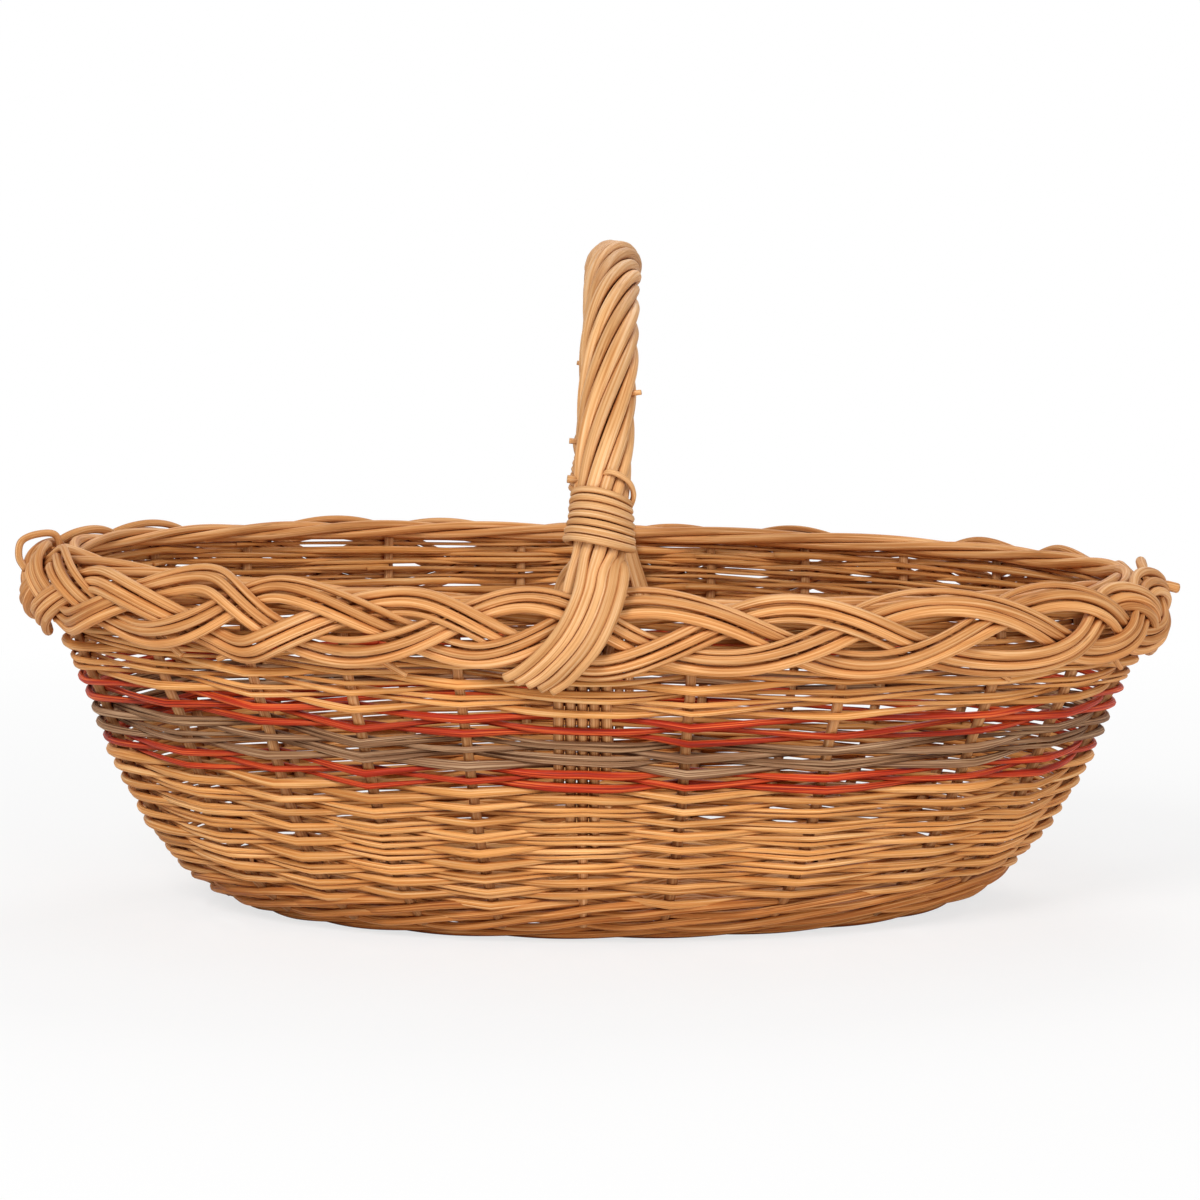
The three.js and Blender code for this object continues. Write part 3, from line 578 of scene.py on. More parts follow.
# Bands of weavers from the wale up; some rows are two thin rods laid together
PAIR_SPREAD_SHARE = 0.33
PAIR_RADIUS_SHARE = 0.66
PAIR_SINK_SHARES = (0.7, 1.3)
ROW_RADIUS_SHARES = (0.88, 1.08)
LOWER_SIDING_LAP = 0.5 * MM
RIM_SIDING_LAP = 1 * MM
BANDS = [
    dict(name="lower_siding_weavers", material=BUFF, slot="buff_willow",
         nodes=numbered("lower_siding", 3), top=LOWER_SIDING_TOP + LOWER_SIDING_LAP,
         rows=17, radius=2.1 * MM, sink=1.2 * MM, wave=0.8 * MM, paired_share=0.35),
    dict(name="lower_red_weavers", material=RED, slot="red_willow",
         nodes=["lower_red_band"], top=LOWER_RED_TOP,
         rows=3, radius=1.85 * MM, sink=1.6 * MM, wave=0.9 * MM),
    dict(name="grey_weavers", material=GREY, slot="grey_willow",
         nodes=["grey_band"], top=GREY_TOP,
         rows=4, radius=2.2 * MM, sink=1.5 * MM, wave=1.0 * MM, paired_share=0.25),
    dict(name="upper_red_weavers", material=RED, slot="red_willow",
         nodes=["upper_red_band"], top=UPPER_RED_TOP,
         rows=3, radius=1.85 * MM, sink=1.7 * MM, wave=1.1 * MM),
    dict(name="upper_siding_weavers", material=BUFF, slot="buff_willow",
         nodes=["upper_siding"], top=UPPER_SIDING_TOP,
         rows=6, radius=2.2 * MM, sink=1.3 * MM, wave=1.2 * MM, paired_share=0.3),
    dict(name="rim_siding_weavers", material=BUFF, slot="buff_willow",
         nodes=["rim_siding"], top=RIM_SIDING_TOP + RIM_SIDING_LAP,
         rows=6, radius=2.1 * MM, sink=1.0 * MM, wave=0.9 * MM, paired_share=0.3),
]


def weave_band(name, material, slot, nodes, bottom, top, rows, radius, side, sink, wave,
               paired_share=0):
    """Rows of weavers between two levels. It gives the side on which the next band starts."""
    rods = Rods()
    pitch = (top - bottom) / rows
    for row in range(rows):
        z = bottom + (row + 0.5) * pitch
        row_radius = radius * noise.uniform(*ROW_RADIUS_SHARES)
        row_side = side * (-1) ** row
        if noise.random() < paired_share:
            for place in (-1, 1):
                weave_row(rods, z + place * PAIR_SPREAD_SHARE * pitch, row_radius * PAIR_RADIUS_SHARE,
                          row_side, sink * noise.uniform(*PAIR_SINK_SHARES), wave)
        else:
            weave_row(rods, z, row_radius, row_side, sink, wave)
    rods.build(name, material, nodes)
    return side * (-1) ** rows


band_bottom = UPSETT_TOP
band_side = 1
for band in BANDS:
    band_side = weave_band(**band, bottom=band_bottom, side=band_side)
    band_bottom = band["top"]

# Stakes: thicker low in the wall, and darker there with painted shade
STAKE_BOTTOM = 8 * MM
STAKE_TOP = 164 * MM
STAKE_STEPS = 40
STAKE_INSET = 0.2 * MM
STAKE_DRIFT = 0.012
STAKE_FOOT_SHARE = 1.12
STAKE_SHADE_LEVELS = [60 * MM, 110 * MM]
STAKE_SHADE_SHARES = [0.4, 0.9]
stakes = Rods()
for angle in STAKE_ANGLES:
    heights = np.linspace(STAKE_BOTTOM, STAKE_TOP, STAKE_STEPS)
    drift = noise.uniform(-STAKE_DRIFT, STAKE_DRIFT)
    angles = angle + drift * (heights / RIM_TOP) ** 2
    route = wall_points(angles, heights, -STAKE_INSET)
    radii = np.linspace(STAKE_RADIUS * STAKE_FOOT_SHARE, STAKE_RADIUS, STAKE_STEPS)
    # Painted shade: stakes darken towards the bottom of the wall
    shade = np.interp(heights, STAKE_SHADE_LEVELS, STAKE_SHADE_SHARES)
    stakes.add(route, (-math.sin(angle), math.cos(angle), 0), radii, shade=shade)
stakes.build("side_stakes", INNER_BUFF,
             numbered("side_stake", len(STAKE_ANGLES), digits=2))

# Plaited border: three strands of rods rolled over the outside of the stakes
BORDER_MIDDLE = (UPPER_SIDING_TOP + RIM_TOP) / 2
PLAIT_DROP = 3 * MM
PLAIT_MIDDLE = BORDER_MIDDLE - PLAIT_DROP
PLAIT_OFFSET = 14.6 * MM
PLAIT_SWING = 13.4 * MM
PLAIT_DEPTH = 2.9 * MM
PLAIT_ROUNDING = 3.4 * MM
PLAIT_ROD_RADIUS = 2.4 * MM
PLAIT_ROD_PITCH = 4.9 * MM
PLAIT_LEAN = 4 * DEGREE
PLAIT_STEPS = 900
PLAIT_SWING_WAVES = ((4, 2, 0.06), (9, 1, 0.05))
PLAIT_DRIFT_WAVES = ((7, 9, 0.5 * MM), (16, 5, 0.35 * MM))
PLAIT_DEPTH_WAVES = ((11, 7, 0.35 * MM),)
PLAIT_RADIUS_WAVES = ((3, 6, 0.07),)
STRAND_COUNT = 3
CREST_COUNT = 27
CREST_SPREAD_SHARE = 0.12
FRONT_CREST_DEGREES = [-161.5, -147, -130.5, -121.6, -106.9, -96.1, -85.6, -71.0, -56.6, -38.4, -25, -12]
SMOOTHING_WINDOW = 31


def crest_angles():
    """Angles of the plait's crests: those of the front as seen, the others spread at the back."""
    crests = list(FRONT_CREST_DEGREES)
    left = CREST_COUNT - len(crests)
    gap = (crests[0] + FULL_DEGREES - crests[-1]) / (left + 1)
    for step in range(left):
        spread = noise.uniform(-CREST_SPREAD_SHARE, CREST_SPREAD_SHARE) * gap
        crests.append(crests[-1] + gap + spread * (step < left - 1))
    crests.append(crests[0] + FULL_DEGREES)
    return np.array(crests) * DEGREE


CREST_ANGLES = crest_angles()


def plait_surface(angle, across, depth):
    """Point of the plait's face: across it and out of it, rounded towards both its edges."""
    rounding = PLAIT_ROUNDING * (across / PLAIT_SWING) ** 2
    out = PLAIT_OFFSET + depth - across * math.sin(PLAIT_LEAN) - rounding
    point = wall_points(angle, BORDER_MIDDLE, out)
    point[..., 2] = PLAIT_MIDDLE + across * math.cos(PLAIT_LEAN)
    return point


def smoothed(values, period):
    """Values round the rim with their sharp changes spread out."""
    window = np.hanning(SMOOTHING_WINDOW)
    window /= window.sum()
    half = len(window) // 2
    looped = np.concatenate([values[-half:] - period, values, values[:half] + period])
    return np.convolve(looped, window, mode="valid")


def strand_route(strand, offset, wander):
    """Route of one rod of a strand, at an offset from the strand's own middle line."""
    crest = np.linspace(0, CREST_COUNT, PLAIT_STEPS, endpoint=False)
    angle = smoothed(np.interp(crest, np.arange(CREST_COUNT + 1), CREST_ANGLES), FULL_TURN)
    turn = FULL_TURN * (crest - strand) / STRAND_COUNT
    across = PLAIT_SWING * (1 + ripple(angle, strand, PLAIT_SWING_WAVES)) * np.cos(turn)
    depth = PLAIT_DEPTH * np.sin(2 * turn)
    lean = np.arctan(np.gradient(across) / (np.gradient(angle) * arc_per_angle(angle, BORDER_MIDDLE)))
    moved = offset + ripple(angle, wander, PLAIT_DRIFT_WAVES)
    across = across + moved * np.cos(lean)
    angle = angle - moved * np.sin(lean) / arc_per_angle(angle, BORDER_MIDDLE)
    depth = depth + ripple(angle, wander, PLAIT_DEPTH_WAVES)
    return plait_surface(angle, across, depth), angle


# Rods of a strand: offset in rod pitches and thickness; the third is thicker at the basket's ends
STRAND_PLACES = [(-0.5, 1.0), (0.5, 0.97), (1.36, 0.62)]
MIRRORED_STRAND = 1
THIRD_ROD = 2
THIRD_ROD_GROWTH_SHARE = 0.34
for strand in range(STRAND_COUNT):
    rods = Rods()
    mirror = -1 if strand == MIRRORED_STRAND else 1
    for place, (offset, thickness) in enumerate(STRAND_PLACES):
        wander = noise.uniform(0, 1)
        route, angle = strand_route(strand, mirror * offset * PLAIT_ROD_PITCH, wander)
        growth = THIRD_ROD_GROWTH_SHARE * np.cos(angle) ** 4 if place == THIRD_ROD else 0
        radii = PLAIT_ROD_RADIUS * (thickness + growth + ripple(angle, wander, PLAIT_RADIUS_WAVES))
        rods.add(route, outward(angle), radii, sides=THICK_ROD_SIDES, closed=True)
    rods.build(f"border_plait_{strand + 1}", BORDER_BUFF,
               [f"border_strand_{strand + 1}"])

# Loose ends of border rods: tips below the plait, a loop over its -X end, one rod at its +X end
TIP_DEGREES = [-138, -125.5, -112, -49, -27, 20, 61, 104, 142, 171]
TIP_FORWARD_SHARE = 0.7
TIP_LENGTH = 17 * MM
TIP_LENGTH_SHARES = (0.6, 1.1)
TIP_RADIUS = 1.8 * MM
TIP_END_SHARE = 0.75
TIP_OFFSETS = np.array([9, 8.2, 8.6]) * MM
TIP_OVERLAP = 1 * MM
TIP_LEVEL = PLAIT_MIDDLE - PLAIT_SWING + TIP_OVERLAP
TIP_DROPS = np.array([0, 6, 11]) * MM
TIP_DROP_SHARES = (0.7, 1.05)
TIP_STEPS = 16
LOOP_ROUTE = np.array([(-279, -20, 158), (-283, -14, 163), (-283, -8, 170), (-276, 0, 173.5),
                       (-268, 7, 172.5), (-266, 10, 166), (-265, 12, 158)]) * MM
LOOP_RADIUS = 1.8 * MM
LOOP_STEPS = 40
END_ROD_ROUTE = np.array([(262, -28, 160), (271, -21, 163.5), (278, -17, 163.5), (284.5, -14, 162)]) * MM
END_ROD_RADIUS = 2.5 * MM
END_ROD_STEPS = 20
tips = Rods()
for degrees in TIP_DEGREES:
    way = 1 if noise.random() < TIP_FORWARD_SHARE else -1
    length = TIP_LENGTH * noise.uniform(*TIP_LENGTH_SHARES)
    reach = np.linspace(0, 1, len(TIP_OFFSETS)) * way * length
    angle = degrees * DEGREE + reach / arc_per_angle(degrees * DEGREE, TIP_LEVEL)
    drops = TIP_DROPS * noise.uniform(*TIP_DROP_SHARES)
    route = smooth_route(wall_points(angle, TIP_LEVEL - drops, TIP_OFFSETS), TIP_STEPS)
    tips.add(route, UP, np.linspace(TIP_RADIUS, TIP_RADIUS * TIP_END_SHARE, TIP_STEPS),
             sides=THIN_ROD_SIDES)
tips.add(smooth_route(LOOP_ROUTE, LOOP_STEPS), ALONG_Y, LOOP_RADIUS)
tips.add(smooth_route(END_ROD_ROUTE, END_ROD_STEPS), UP, END_ROD_RADIUS)
tips.build("border_rod_ends", BORDER_BUFF, ["border_strand_1"])

# Rods along the inside of the rim, turned round each other and sagging a little at the front
RIM_ROD_COUNT = 3
RIM_ROD_RADIUS = 2.35 * MM
RIM_ROD_RING = 2.6 * MM
RIM_ROD_TWISTS = 8
RIM_ROD_STEPS = 420
RIM_ROD_OFFSET = -5.4 * MM
RIM_ROD_DEPTH = 4.2 * MM
RIM_ROD_LEVEL = RIM_TOP - RIM_ROD_DEPTH
RIM_ROD_TURN_WAVES = ((3, 0, 0.5),)
RIM_ROD_RADIUS_WAVES = ((2, 2, 0.1),)
RIM_SAG = 5 * MM
rim = Rods()
for number in range(RIM_ROD_COUNT):
    angle = np.linspace(0, FULL_TURN, RIM_ROD_STEPS, endpoint=False)
    turn = RIM_ROD_TWISTS * angle + number / RIM_ROD_COUNT * FULL_TURN
    turn = turn + ripple(angle, number, RIM_ROD_TURN_WAVES)
    route = wall_points(angle, BORDER_MIDDLE, RIM_ROD_OFFSET + RIM_ROD_RING * np.cos(turn))
    sag = RIM_SAG * np.clip(-np.sin(angle), 0, 1) ** 2
    route[:, 2] = RIM_ROD_LEVEL + RIM_ROD_RING * np.sin(turn) - sag
    radii = RIM_ROD_RADIUS * (1 + ripple(angle, number, RIM_ROD_RADIUS_WAVES))
    rim.add(route, UP, radii, closed=True)
rim.build("inner_rim_rods", BORDER_BUFF, ["inner_rim_rod"])

# Handle: core rods through the wall and roping rods twisted round them
ROPING_COUNT = 10
ROPING_RADIUS = 3.1 * MM
ROPING_RING = 10.4 * MM
ROPING_START = 15 * MM
ROPING_STEPS = 21
ROPING_STATIONS = 70
ROPING_ROUTE_STEPS = 330
ROPING_PINCH = 1.5 * MM
PINCH_PLACE_SHARE = 0.03
PINCH_WIDTH_SHARE = 0.05
ROPING_FOOT_SHARE = 0.13
ROPING_FOOT_THIN_SHARE = 0.23
ROPING_FOOT_POWER = 0.7
ROPING_THICK_SHARES = (0.98, 1.14)
ROPING_THIN_SHARES = (0.8, 0.94)
ROPING_TURN_WAVES = ((9, 1, 0.09),)
ROPING_RING_WAVES = ((13, 2, 0.7 * MM),)
ROPING_REFERENCE = (1, 0.001, 0)
ROPING_TWIST = ROPING_STEPS / ROPING_COUNT * FULL_TURN
CORE_RING = 4.6 * MM
CORE_BUNDLE = [-1, -2, 0, 2, 1]
CORE_LEG_STEPS = 24
CORE_STATIONS = 60
CORE_ROUTE_STEPS = 300
LEG_SPAN = RIM_HALF_WIDTH
ARCH_INSET = 12.8 * MM
ARCH_RISE = HANDLE_TOP - RIM_TOP - ARCH_INSET
ARCH_STEPS = 400
BORDER_DROP = RIM_TOP - UPPER_SIDING_TOP
FAN_PITCH = 4.55 * MM
FAN_END_SLOPE = 0.31
FAN_CLOSING_SHARE = 0.4
FAN_BULGE = 0.5 * MM
FAN_BULGE_TURN = 2.2
FAN_LEVELS = np.array([128, 134, 142, 151, 160, 167, 173, 180]) * MM
FAN_OFFSETS = np.array([15.5, 18.5, 21, 22, 20.8, 17.8, 14, 11]) * MM
FAN_FIRST = -1
FAN_LAST = 3
FAN_LINE = np.array([(3, 179), (1.5, 171.5), (-1.5, 163), (-6, 154), (-11.8, 145.5), (-18.6, 138),
                     (-25, 132.2), (-30.5, 128.8)]) * MM
INNER_OFFSET = -13.6 * MM
INNER_FOOT_RISE = 2 * MM
INNER_TAIL_LENGTH = 50 * MM
INNER_SWEEPS = {-2: -12 * MM, -3: -15.5 * MM, -4: -13.2 * MM, 5: -8.6 * MM, 4: -4 * MM}
INNER_SPREAD_SHARES = np.array([1, 1.3, 1.65, 1.9])
FRONT_TAIL_OFFSET = 7.4 * MM


def arch_frame(turn):
    """Middle line of the handle's arch, with its outward and sideways directions."""
    point = np.stack([HANDLE_LEAN * np.sin(turn), -LEG_SPAN * np.cos(turn),
                      RIM_TOP + ARCH_RISE * np.sin(turn)], axis=-1)
    tangent = unit(np.stack([HANDLE_LEAN * np.cos(turn), LEG_SPAN * np.sin(turn),
                             ARCH_RISE * np.cos(turn)], axis=-1))
    out = -unit(np.cross(tangent, ALONG_X))
    across = -unit(np.cross(out, tangent))
    return point, out, across


ARCH_TURNS = np.linspace(0, HALF_TURN, ARCH_STEPS)
ARCH_GAPS = np.linalg.norm(np.diff(arch_frame(ARCH_TURNS)[0], axis=0), axis=1)
ARCH_DISTANCES = np.concatenate([[0], np.cumsum(ARCH_GAPS)])
ARCH_LENGTH = ARCH_DISTANCES[-1]


def round_arch(distance, ring, turn):
    """Points at a distance along the arch, a ring's radius and a turn round its middle line."""
    point, out, across = arch_frame(np.interp(distance, ARCH_DISTANCES, ARCH_TURNS))
    turn = np.broadcast_to(turn, distance.shape)[:, None]
    return point + (out * np.cos(turn) + across * np.sin(turn)) * np.asarray(ring)[..., None]


def arch_stations(count):
    return np.linspace(ROPING_START, ARCH_LENGTH - ROPING_START, count)


def turned_round(points):
    return points * np.array([-1, -1, 1])


def core_leg(row, end):
    """Core rod's way through the wall, from its lower end to the rim."""
    z = np.linspace(end, RIM_TOP, CORE_LEG_STEPS)
    x = row - LEG_SHIFT * np.clip((RIM_TOP - z) / BORDER_DROP, 0, 1)
    return np.stack([x, -wall_depth(x, z, 0), z], axis=-1)


def fan_foot(place):
    """Roping rod's foot that sweeps down and sideways over the plait, from the leg downward; the
    feet draw together at their ends."""
    along = unit(np.gradient(FAN_LINE, axis=0))
    ending = np.linspace(0, 1, len(FAN_LINE)) ** 4
    x = FAN_LINE[:, 0] - place * FAN_PITCH * (1 - FAN_CLOSING_SHARE * ending) / along[:, 1]
    z = FAN_LINE[:, 1] - place * FAN_PITCH * FAN_END_SLOPE * ending
    bulge = FAN_BULGE * math.cos(FAN_BULGE_TURN * place)
    offset = np.interp(z, FAN_LEVELS, FAN_OFFSETS) + bulge
    level = np.clip(z, BORDER_MIDDLE, RIM_TOP)
    return np.stack([x, -wall_depth(x, level, offset), z], axis=-1)


def inner_foot(step):
    """Roping rod's foot that goes straight down inside the wall, or ends behind the plait."""
    z = np.array([RIM_TOP + INNER_FOOT_RISE, BORDER_MIDDLE, UPPER_SIDING_TOP,
                  RIM_TOP - INNER_TAIL_LENGTH])
    x = INNER_SWEEPS[step] * INNER_SPREAD_SHARES
    behind_plait = step == FAN_FIRST - 1
    offset = FRONT_TAIL_OFFSET if behind_plait else INNER_OFFSET
    foot = np.stack([x, -wall_depth(x, z, offset), z], axis=-1)
    return foot[:-1] if behind_plait else foot


def roping_foot(step):
    place = step % ROPING_COUNT
    if place > ROPING_COUNT // 2:
        place -= ROPING_COUNT
    if FAN_FIRST <= place <= FAN_LAST:
        return fan_foot(place - (FAN_FIRST + FAN_LAST) / 2)
    return inner_foot(place)


core = Rods()
for number, step in enumerate(CORE_BUNDLE):
    row = row_place(number, CORE_COUNT, CORE_PITCH)
    middle = round_arch(arch_stations(CORE_STATIONS), CORE_RING, step / CORE_COUNT * FULL_TURN)
    points = np.concatenate([core_leg(row, CORE_ENDS[number]), middle,
                             turned_round(core_leg(-row, CORE_ENDS[-1 - number]))[::-1]])
    core.add(smooth_route(points, CORE_ROUTE_STEPS), ALONG_X, CORE_RADIUS)
core.build("handle_core_rods", INNER_BUFF, numbered("handle_core_rod", CORE_COUNT))

roping = Rods()
arch_shares = np.linspace(0, 1, ROPING_STATIONS)
arch_middle = np.sin(HALF_TURN * arch_shares)
pinch = sum(np.exp(-((arch_shares - place) / PINCH_WIDTH_SHARE) ** 2)
            for place in (PINCH_PLACE_SHARE, 1 - PINCH_PLACE_SHARE))
for number in range(ROPING_COUNT):
    turn = number / ROPING_COUNT * FULL_TURN + arch_shares * ROPING_TWIST
    drift = noise.uniform(0, FULL_TURN)
    turn = turn + ripple(arch_shares, drift, ROPING_TURN_WAVES) * arch_middle
    ring = ROPING_RING - ROPING_PINCH * pinch
    ring = ring + ripple(arch_shares, drift, ROPING_RING_WAVES) * arch_middle
    middle = round_arch(arch_stations(ROPING_STATIONS), ring, turn)
    points = np.concatenate([roping_foot(number)[::-1], middle,
                             turned_round(roping_foot(-(number + ROPING_STEPS)))])
    thick = ROPING_RADIUS * noise.uniform(*ROPING_THICK_SHARES)
    thin = ROPING_RADIUS * noise.uniform(*ROPING_THIN_SHARES)
    ends = (thick, thin) if number % 2 == 0 else (thin, thick)
    shares = np.linspace(0, 1, ROPING_ROUTE_STEPS)
    to_end = np.clip(np.minimum(shares, 1 - shares) / ROPING_FOOT_SHARE, 0, 1)
    narrowing = 1 - ROPING_FOOT_THIN_SHARE * (1 - to_end) ** ROPING_FOOT_POWER
    radii = np.linspace(*ends, ROPING_ROUTE_STEPS) * narrowing
    roping.add(smooth_route(points, ROPING_ROUTE_STEPS), ROPING_REFERENCE, radii, sides=THICK_ROD_SIDES)
roping.build("handle_roping_rods", PALE,
             numbered("handle_roping_rod", ROPING_COUNT, digits=2))

# Bindings round the foot of each leg, with the twig that ties each one and stubs of side shoots
BINDING_TURNS = 7
BINDING_STEPS = 30
BINDING_RADIUS = 1.75 * MM
BINDING_PITCH = 3.4 * MM
BINDING_RING_SHARES = [0, 0.6, 1]
BINDING_RINGS = np.array([15, 13.3, 12.4]) * MM
BINDING_SLANT = 2.2 * MM
BINDING_CORNERS = 3
BINDING_CORNER_SHARE = 0.035
BINDING_CORNER_TURN = 0.7
BINDING_RING_WAVES = ((7.3, 0, 0.25 * MM),)
BINDING_RADIUS_WAVES = ((1.7, 0, 0.08),)
TWIG_RADIUS = 1.3 * MM
TWIG_CLIMB = np.array([49, 49, 47.5, 43, 36]) * MM
TWIG_RINGS = np.array([10, 13.6, 14.4, 14.2, 12.6]) * MM
TWIG_TURNS = np.array([5, 12, 45, 85, 110]) * DEGREE
TWIG_STEPS = 40
# Stubs: height up the leg, degrees round it and radius
STUBS = [(48 * MM, -82, 1.8 * MM), (67 * MM, -86, 1.3 * MM), (93 * MM, 74, 1.2 * MM)]
STUB_RINGS = np.array([9, 16]) * MM
STUB_STEPS = 8


def leg_point(climbed, ring, turn, at_back):
    """Points round the foot of a leg; round the back leg they run the other way."""
    return round_arch(ARCH_LENGTH - climbed, ring, -turn) if at_back else round_arch(climbed, ring, turn)


for name, at_back in (("front", False), ("back", True)):
    binding = Rods()
    turns = np.linspace(0, BINDING_TURNS, BINDING_STEPS * BINDING_TURNS)
    turn = turns * FULL_TURN + HALF_TURN
    climbed = ROPING_START + 2 * BINDING_RADIUS + turns * BINDING_PITCH - BINDING_SLANT * np.sin(turn)
    ring = np.interp(turns / BINDING_TURNS, BINDING_RING_SHARES, BINDING_RINGS)
    ring = ring * (1 + BINDING_CORNER_SHARE * np.cos(BINDING_CORNERS * turn + BINDING_CORNER_TURN))
    ring = ring + ripple(turns, 0, BINDING_RING_WAVES)
    route = leg_point(climbed, ring, turn, at_back)
    axis = leg_point(climbed, np.zeros_like(ring), turn, at_back)
    radii = BINDING_RADIUS * (1 + ripple(turns, 0, BINDING_RADIUS_WAVES))
    binding.add(route, unit(route - axis), radii)
    twig = leg_point(TWIG_CLIMB, TWIG_RINGS, TWIG_TURNS, at_back)
    binding.add(smooth_route(twig, TWIG_STEPS), UP, TWIG_RADIUS, sides=THIN_ROD_SIDES)
    for climb, degrees, radius in STUBS:
        stub = leg_point(np.full(len(STUB_RINGS), climb), STUB_RINGS, degrees * DEGREE, at_back)
        binding.add(smooth_route(stub, STUB_STEPS), UP, radius, sides=THIN_ROD_SIDES)
    binding.build(f"handle_binding_rod_{name}", PALE, [f"handle_binding_{name}"])

# Upsett wale: rods that pass outside two stakes and inside the third
WALE_RODS = 3
WALE_ROUNDS = 2
WALE_RADIUS = 1.98 * MM
WALE_RISE = 3.2 * MM
WALE_GAP = 0.35 * MM
WALE_STEPS = 14
WALE_WAVE = 0.5 * MM
WALE_OUTSIDE_SHARE = 0.35
WALE_SWING_SHARE = 1.15
wale = Rods()
for course in range(WALE_ROUNDS):
    level = FOOT_TOP + WALE_GAP + (course + 0.5) * (UPSETT_TOP - FOOT_TOP) / WALE_ROUNDS
    for number in range(WALE_RODS):
        points = []
        for i in range(UPRIGHT_COUNT):
            low, high = upright_span(i)
            share = np.arange(WALE_STEPS) / WALE_STEPS
            stroke = FULL_TURN * (i + share + number + course) / WALE_RODS
            angle = low + share * (high - low)
            swing = np.clip(WALE_OUTSIDE_SHARE + WALE_SWING_SHARE * np.cos(stroke), -1, 1)
            height = level + WALE_RISE * np.sin(stroke) + wobble(angle, level, WALE_WAVE)
            points.append(wall_points(angle, height, (STAKE_RADIUS + WALE_RADIUS) * swing))
        route = np.concatenate(points)
        wale.add(route, unit(route * FLATTENED), WALE_RADIUS, closed=True)
wale.build("upsett_wale_rods", WALE, ["upsett_wale"])

# Foot: rods twisted into a rope under the wale
FOOT_RODS = 3
FOOT_ROD_RADIUS = 1.9 * MM
FOOT_RING = 1.6 * MM
FOOT_TWISTS = 7
FOOT_OFFSET = -1.5 * MM
FOOT_STEPS = 680
foot = Rods()
angle = np.linspace(0, FULL_TURN, FOOT_STEPS, endpoint=False)
for number in range(FOOT_RODS):
    turn = FOOT_TWISTS * angle + number / FOOT_RODS * FULL_TURN
    route = wall_points(angle, np.zeros_like(angle), FOOT_OFFSET + 2 * FOOT_RING * np.cos(turn))
    route[:, 2] = FOOT_TOP / 2 + FOOT_RING * np.sin(turn)
    foot.add(route, UP, FOOT_ROD_RADIUS, sides=THIN_ROD_SIDES, closed=True)
foot.build("foot_hoop_rods", WALE, ["foot_hoop"])

# Base sticks, both ways
BASE_MIDDLE = 13.85 * MM
BASE_LENGTH = 172 * MM
BASE_WIDTH = 108 * MM
BASE_EDGE = 12 * MM
BASE_ROD_EDGE = 9 * MM
BASE_CLOSING = 8 * MM
BASE_OUTER_WIDTH = BASE_WIDTH + BASE_ROD_EDGE
BASE_OUTER_LENGTH = BASE_LENGTH + BASE_EDGE
STICK_STEPS = 40
CROSS_STICK_COUNT = 5
CROSS_STICK_PITCH = 44 * MM
CROSS_STICK_RADIUS = 3.5 * MM
CROSS_STICK_SHARES = (1.06, 0.92)
CROSS_STICK_SWAY = 1 * MM
CROSS_STICK_PLACES = [row_place(number, CROSS_STICK_COUNT, CROSS_STICK_PITCH)
                      for number in range(CROSS_STICK_COUNT)]
LONG_STICK_COUNT = 3
LONG_STICK_PITCH = 5.5 * MM
LONG_STICK_RADIUS = 2.5 * MM
LONG_STICK_SHARES = (1.05, 0.9)
LONG_STICK_CLOSING_SHARE = 0.1
sticks = Rods()
for number, x in enumerate(CROSS_STICK_PLACES):
    reach = BASE_OUTER_WIDTH * math.sqrt(1 - (x / BASE_OUTER_LENGTH) ** 2)
    y = np.linspace(-reach, reach, STICK_STEPS)
    sway = noise.uniform(-CROSS_STICK_SWAY, CROSS_STICK_SWAY) * np.sin(HALF_TURN * y / reach)
    radii = CROSS_STICK_RADIUS * np.linspace(*CROSS_STICK_SHARES, STICK_STEPS)[::1 if number % 2 else -1]
    sticks.add(np.stack([x + sway, y, np.full(STICK_STEPS, BASE_MIDDLE)], axis=-1), UP, radii,
               sides=THICK_ROD_SIDES)
for number in range(LONG_STICK_COUNT):
    x = np.linspace(-BASE_OUTER_LENGTH, BASE_OUTER_LENGTH, STICK_STEPS)
    ending = np.clip((np.abs(x) - BASE_OUTER_LENGTH + BASE_CLOSING) / BASE_CLOSING, 0, 1)
    y = row_place(number, LONG_STICK_COUNT, LONG_STICK_PITCH) * (1 - ending * LONG_STICK_CLOSING_SHARE)
    radii = LONG_STICK_RADIUS * np.linspace(*LONG_STICK_SHARES, STICK_STEPS)
    sticks.add(np.stack([x, y, np.full(STICK_STEPS, BASE_MIDDLE)], axis=-1), UP, radii)
sticks.build("base_sticks", INNER_BUFF,
             numbered("cross_base_stick", CROSS_STICK_COUNT)
             + numbered("long_base_stick", LONG_STICK_COUNT))

# Base weave: pairs of rods round the sticks, in oval rows
BASE_ROD_RADIUS = 1.8 * MM
BASE_ROD_SHARES = (0.92, 1.05)
BASE_ROW_PITCH = 3.9 * MM
BASE_SWING = 4.5 * MM
BASE_STACK = 0.9 * MM
BASE_SPREAD = 1.0 * MM
BASE_SPREAD_WAVES = ((5, 3, 0.5 * MM),)
BASE_RADIUS_WAVES = ((2, 1, 0.09),)
BASE_FIRST_STEPS = 72
BASE_ROW_STEPS = 7
BASE_INNER_WIDTH = 11 * MM
BASE_INNER_LENGTH = BASE_INNER_WIDTH + BASE_LENGTH - BASE_WIDTH
BASE_ROWS = 1 + int((BASE_OUTER_WIDTH - BASE_INNER_WIDTH) / BASE_ROW_PITCH)


def base_spokes(length):
    """Angles at which an oval row of the base crosses its sticks."""
    angles = [0.0, HALF_TURN]
    for x in CROSS_STICK_PLACES:
        if abs(x) < length - BASE_CLOSING:
            angles.extend([math.acos(x / length), FULL_TURN - math.acos(x / length)])
    return sorted(angles)


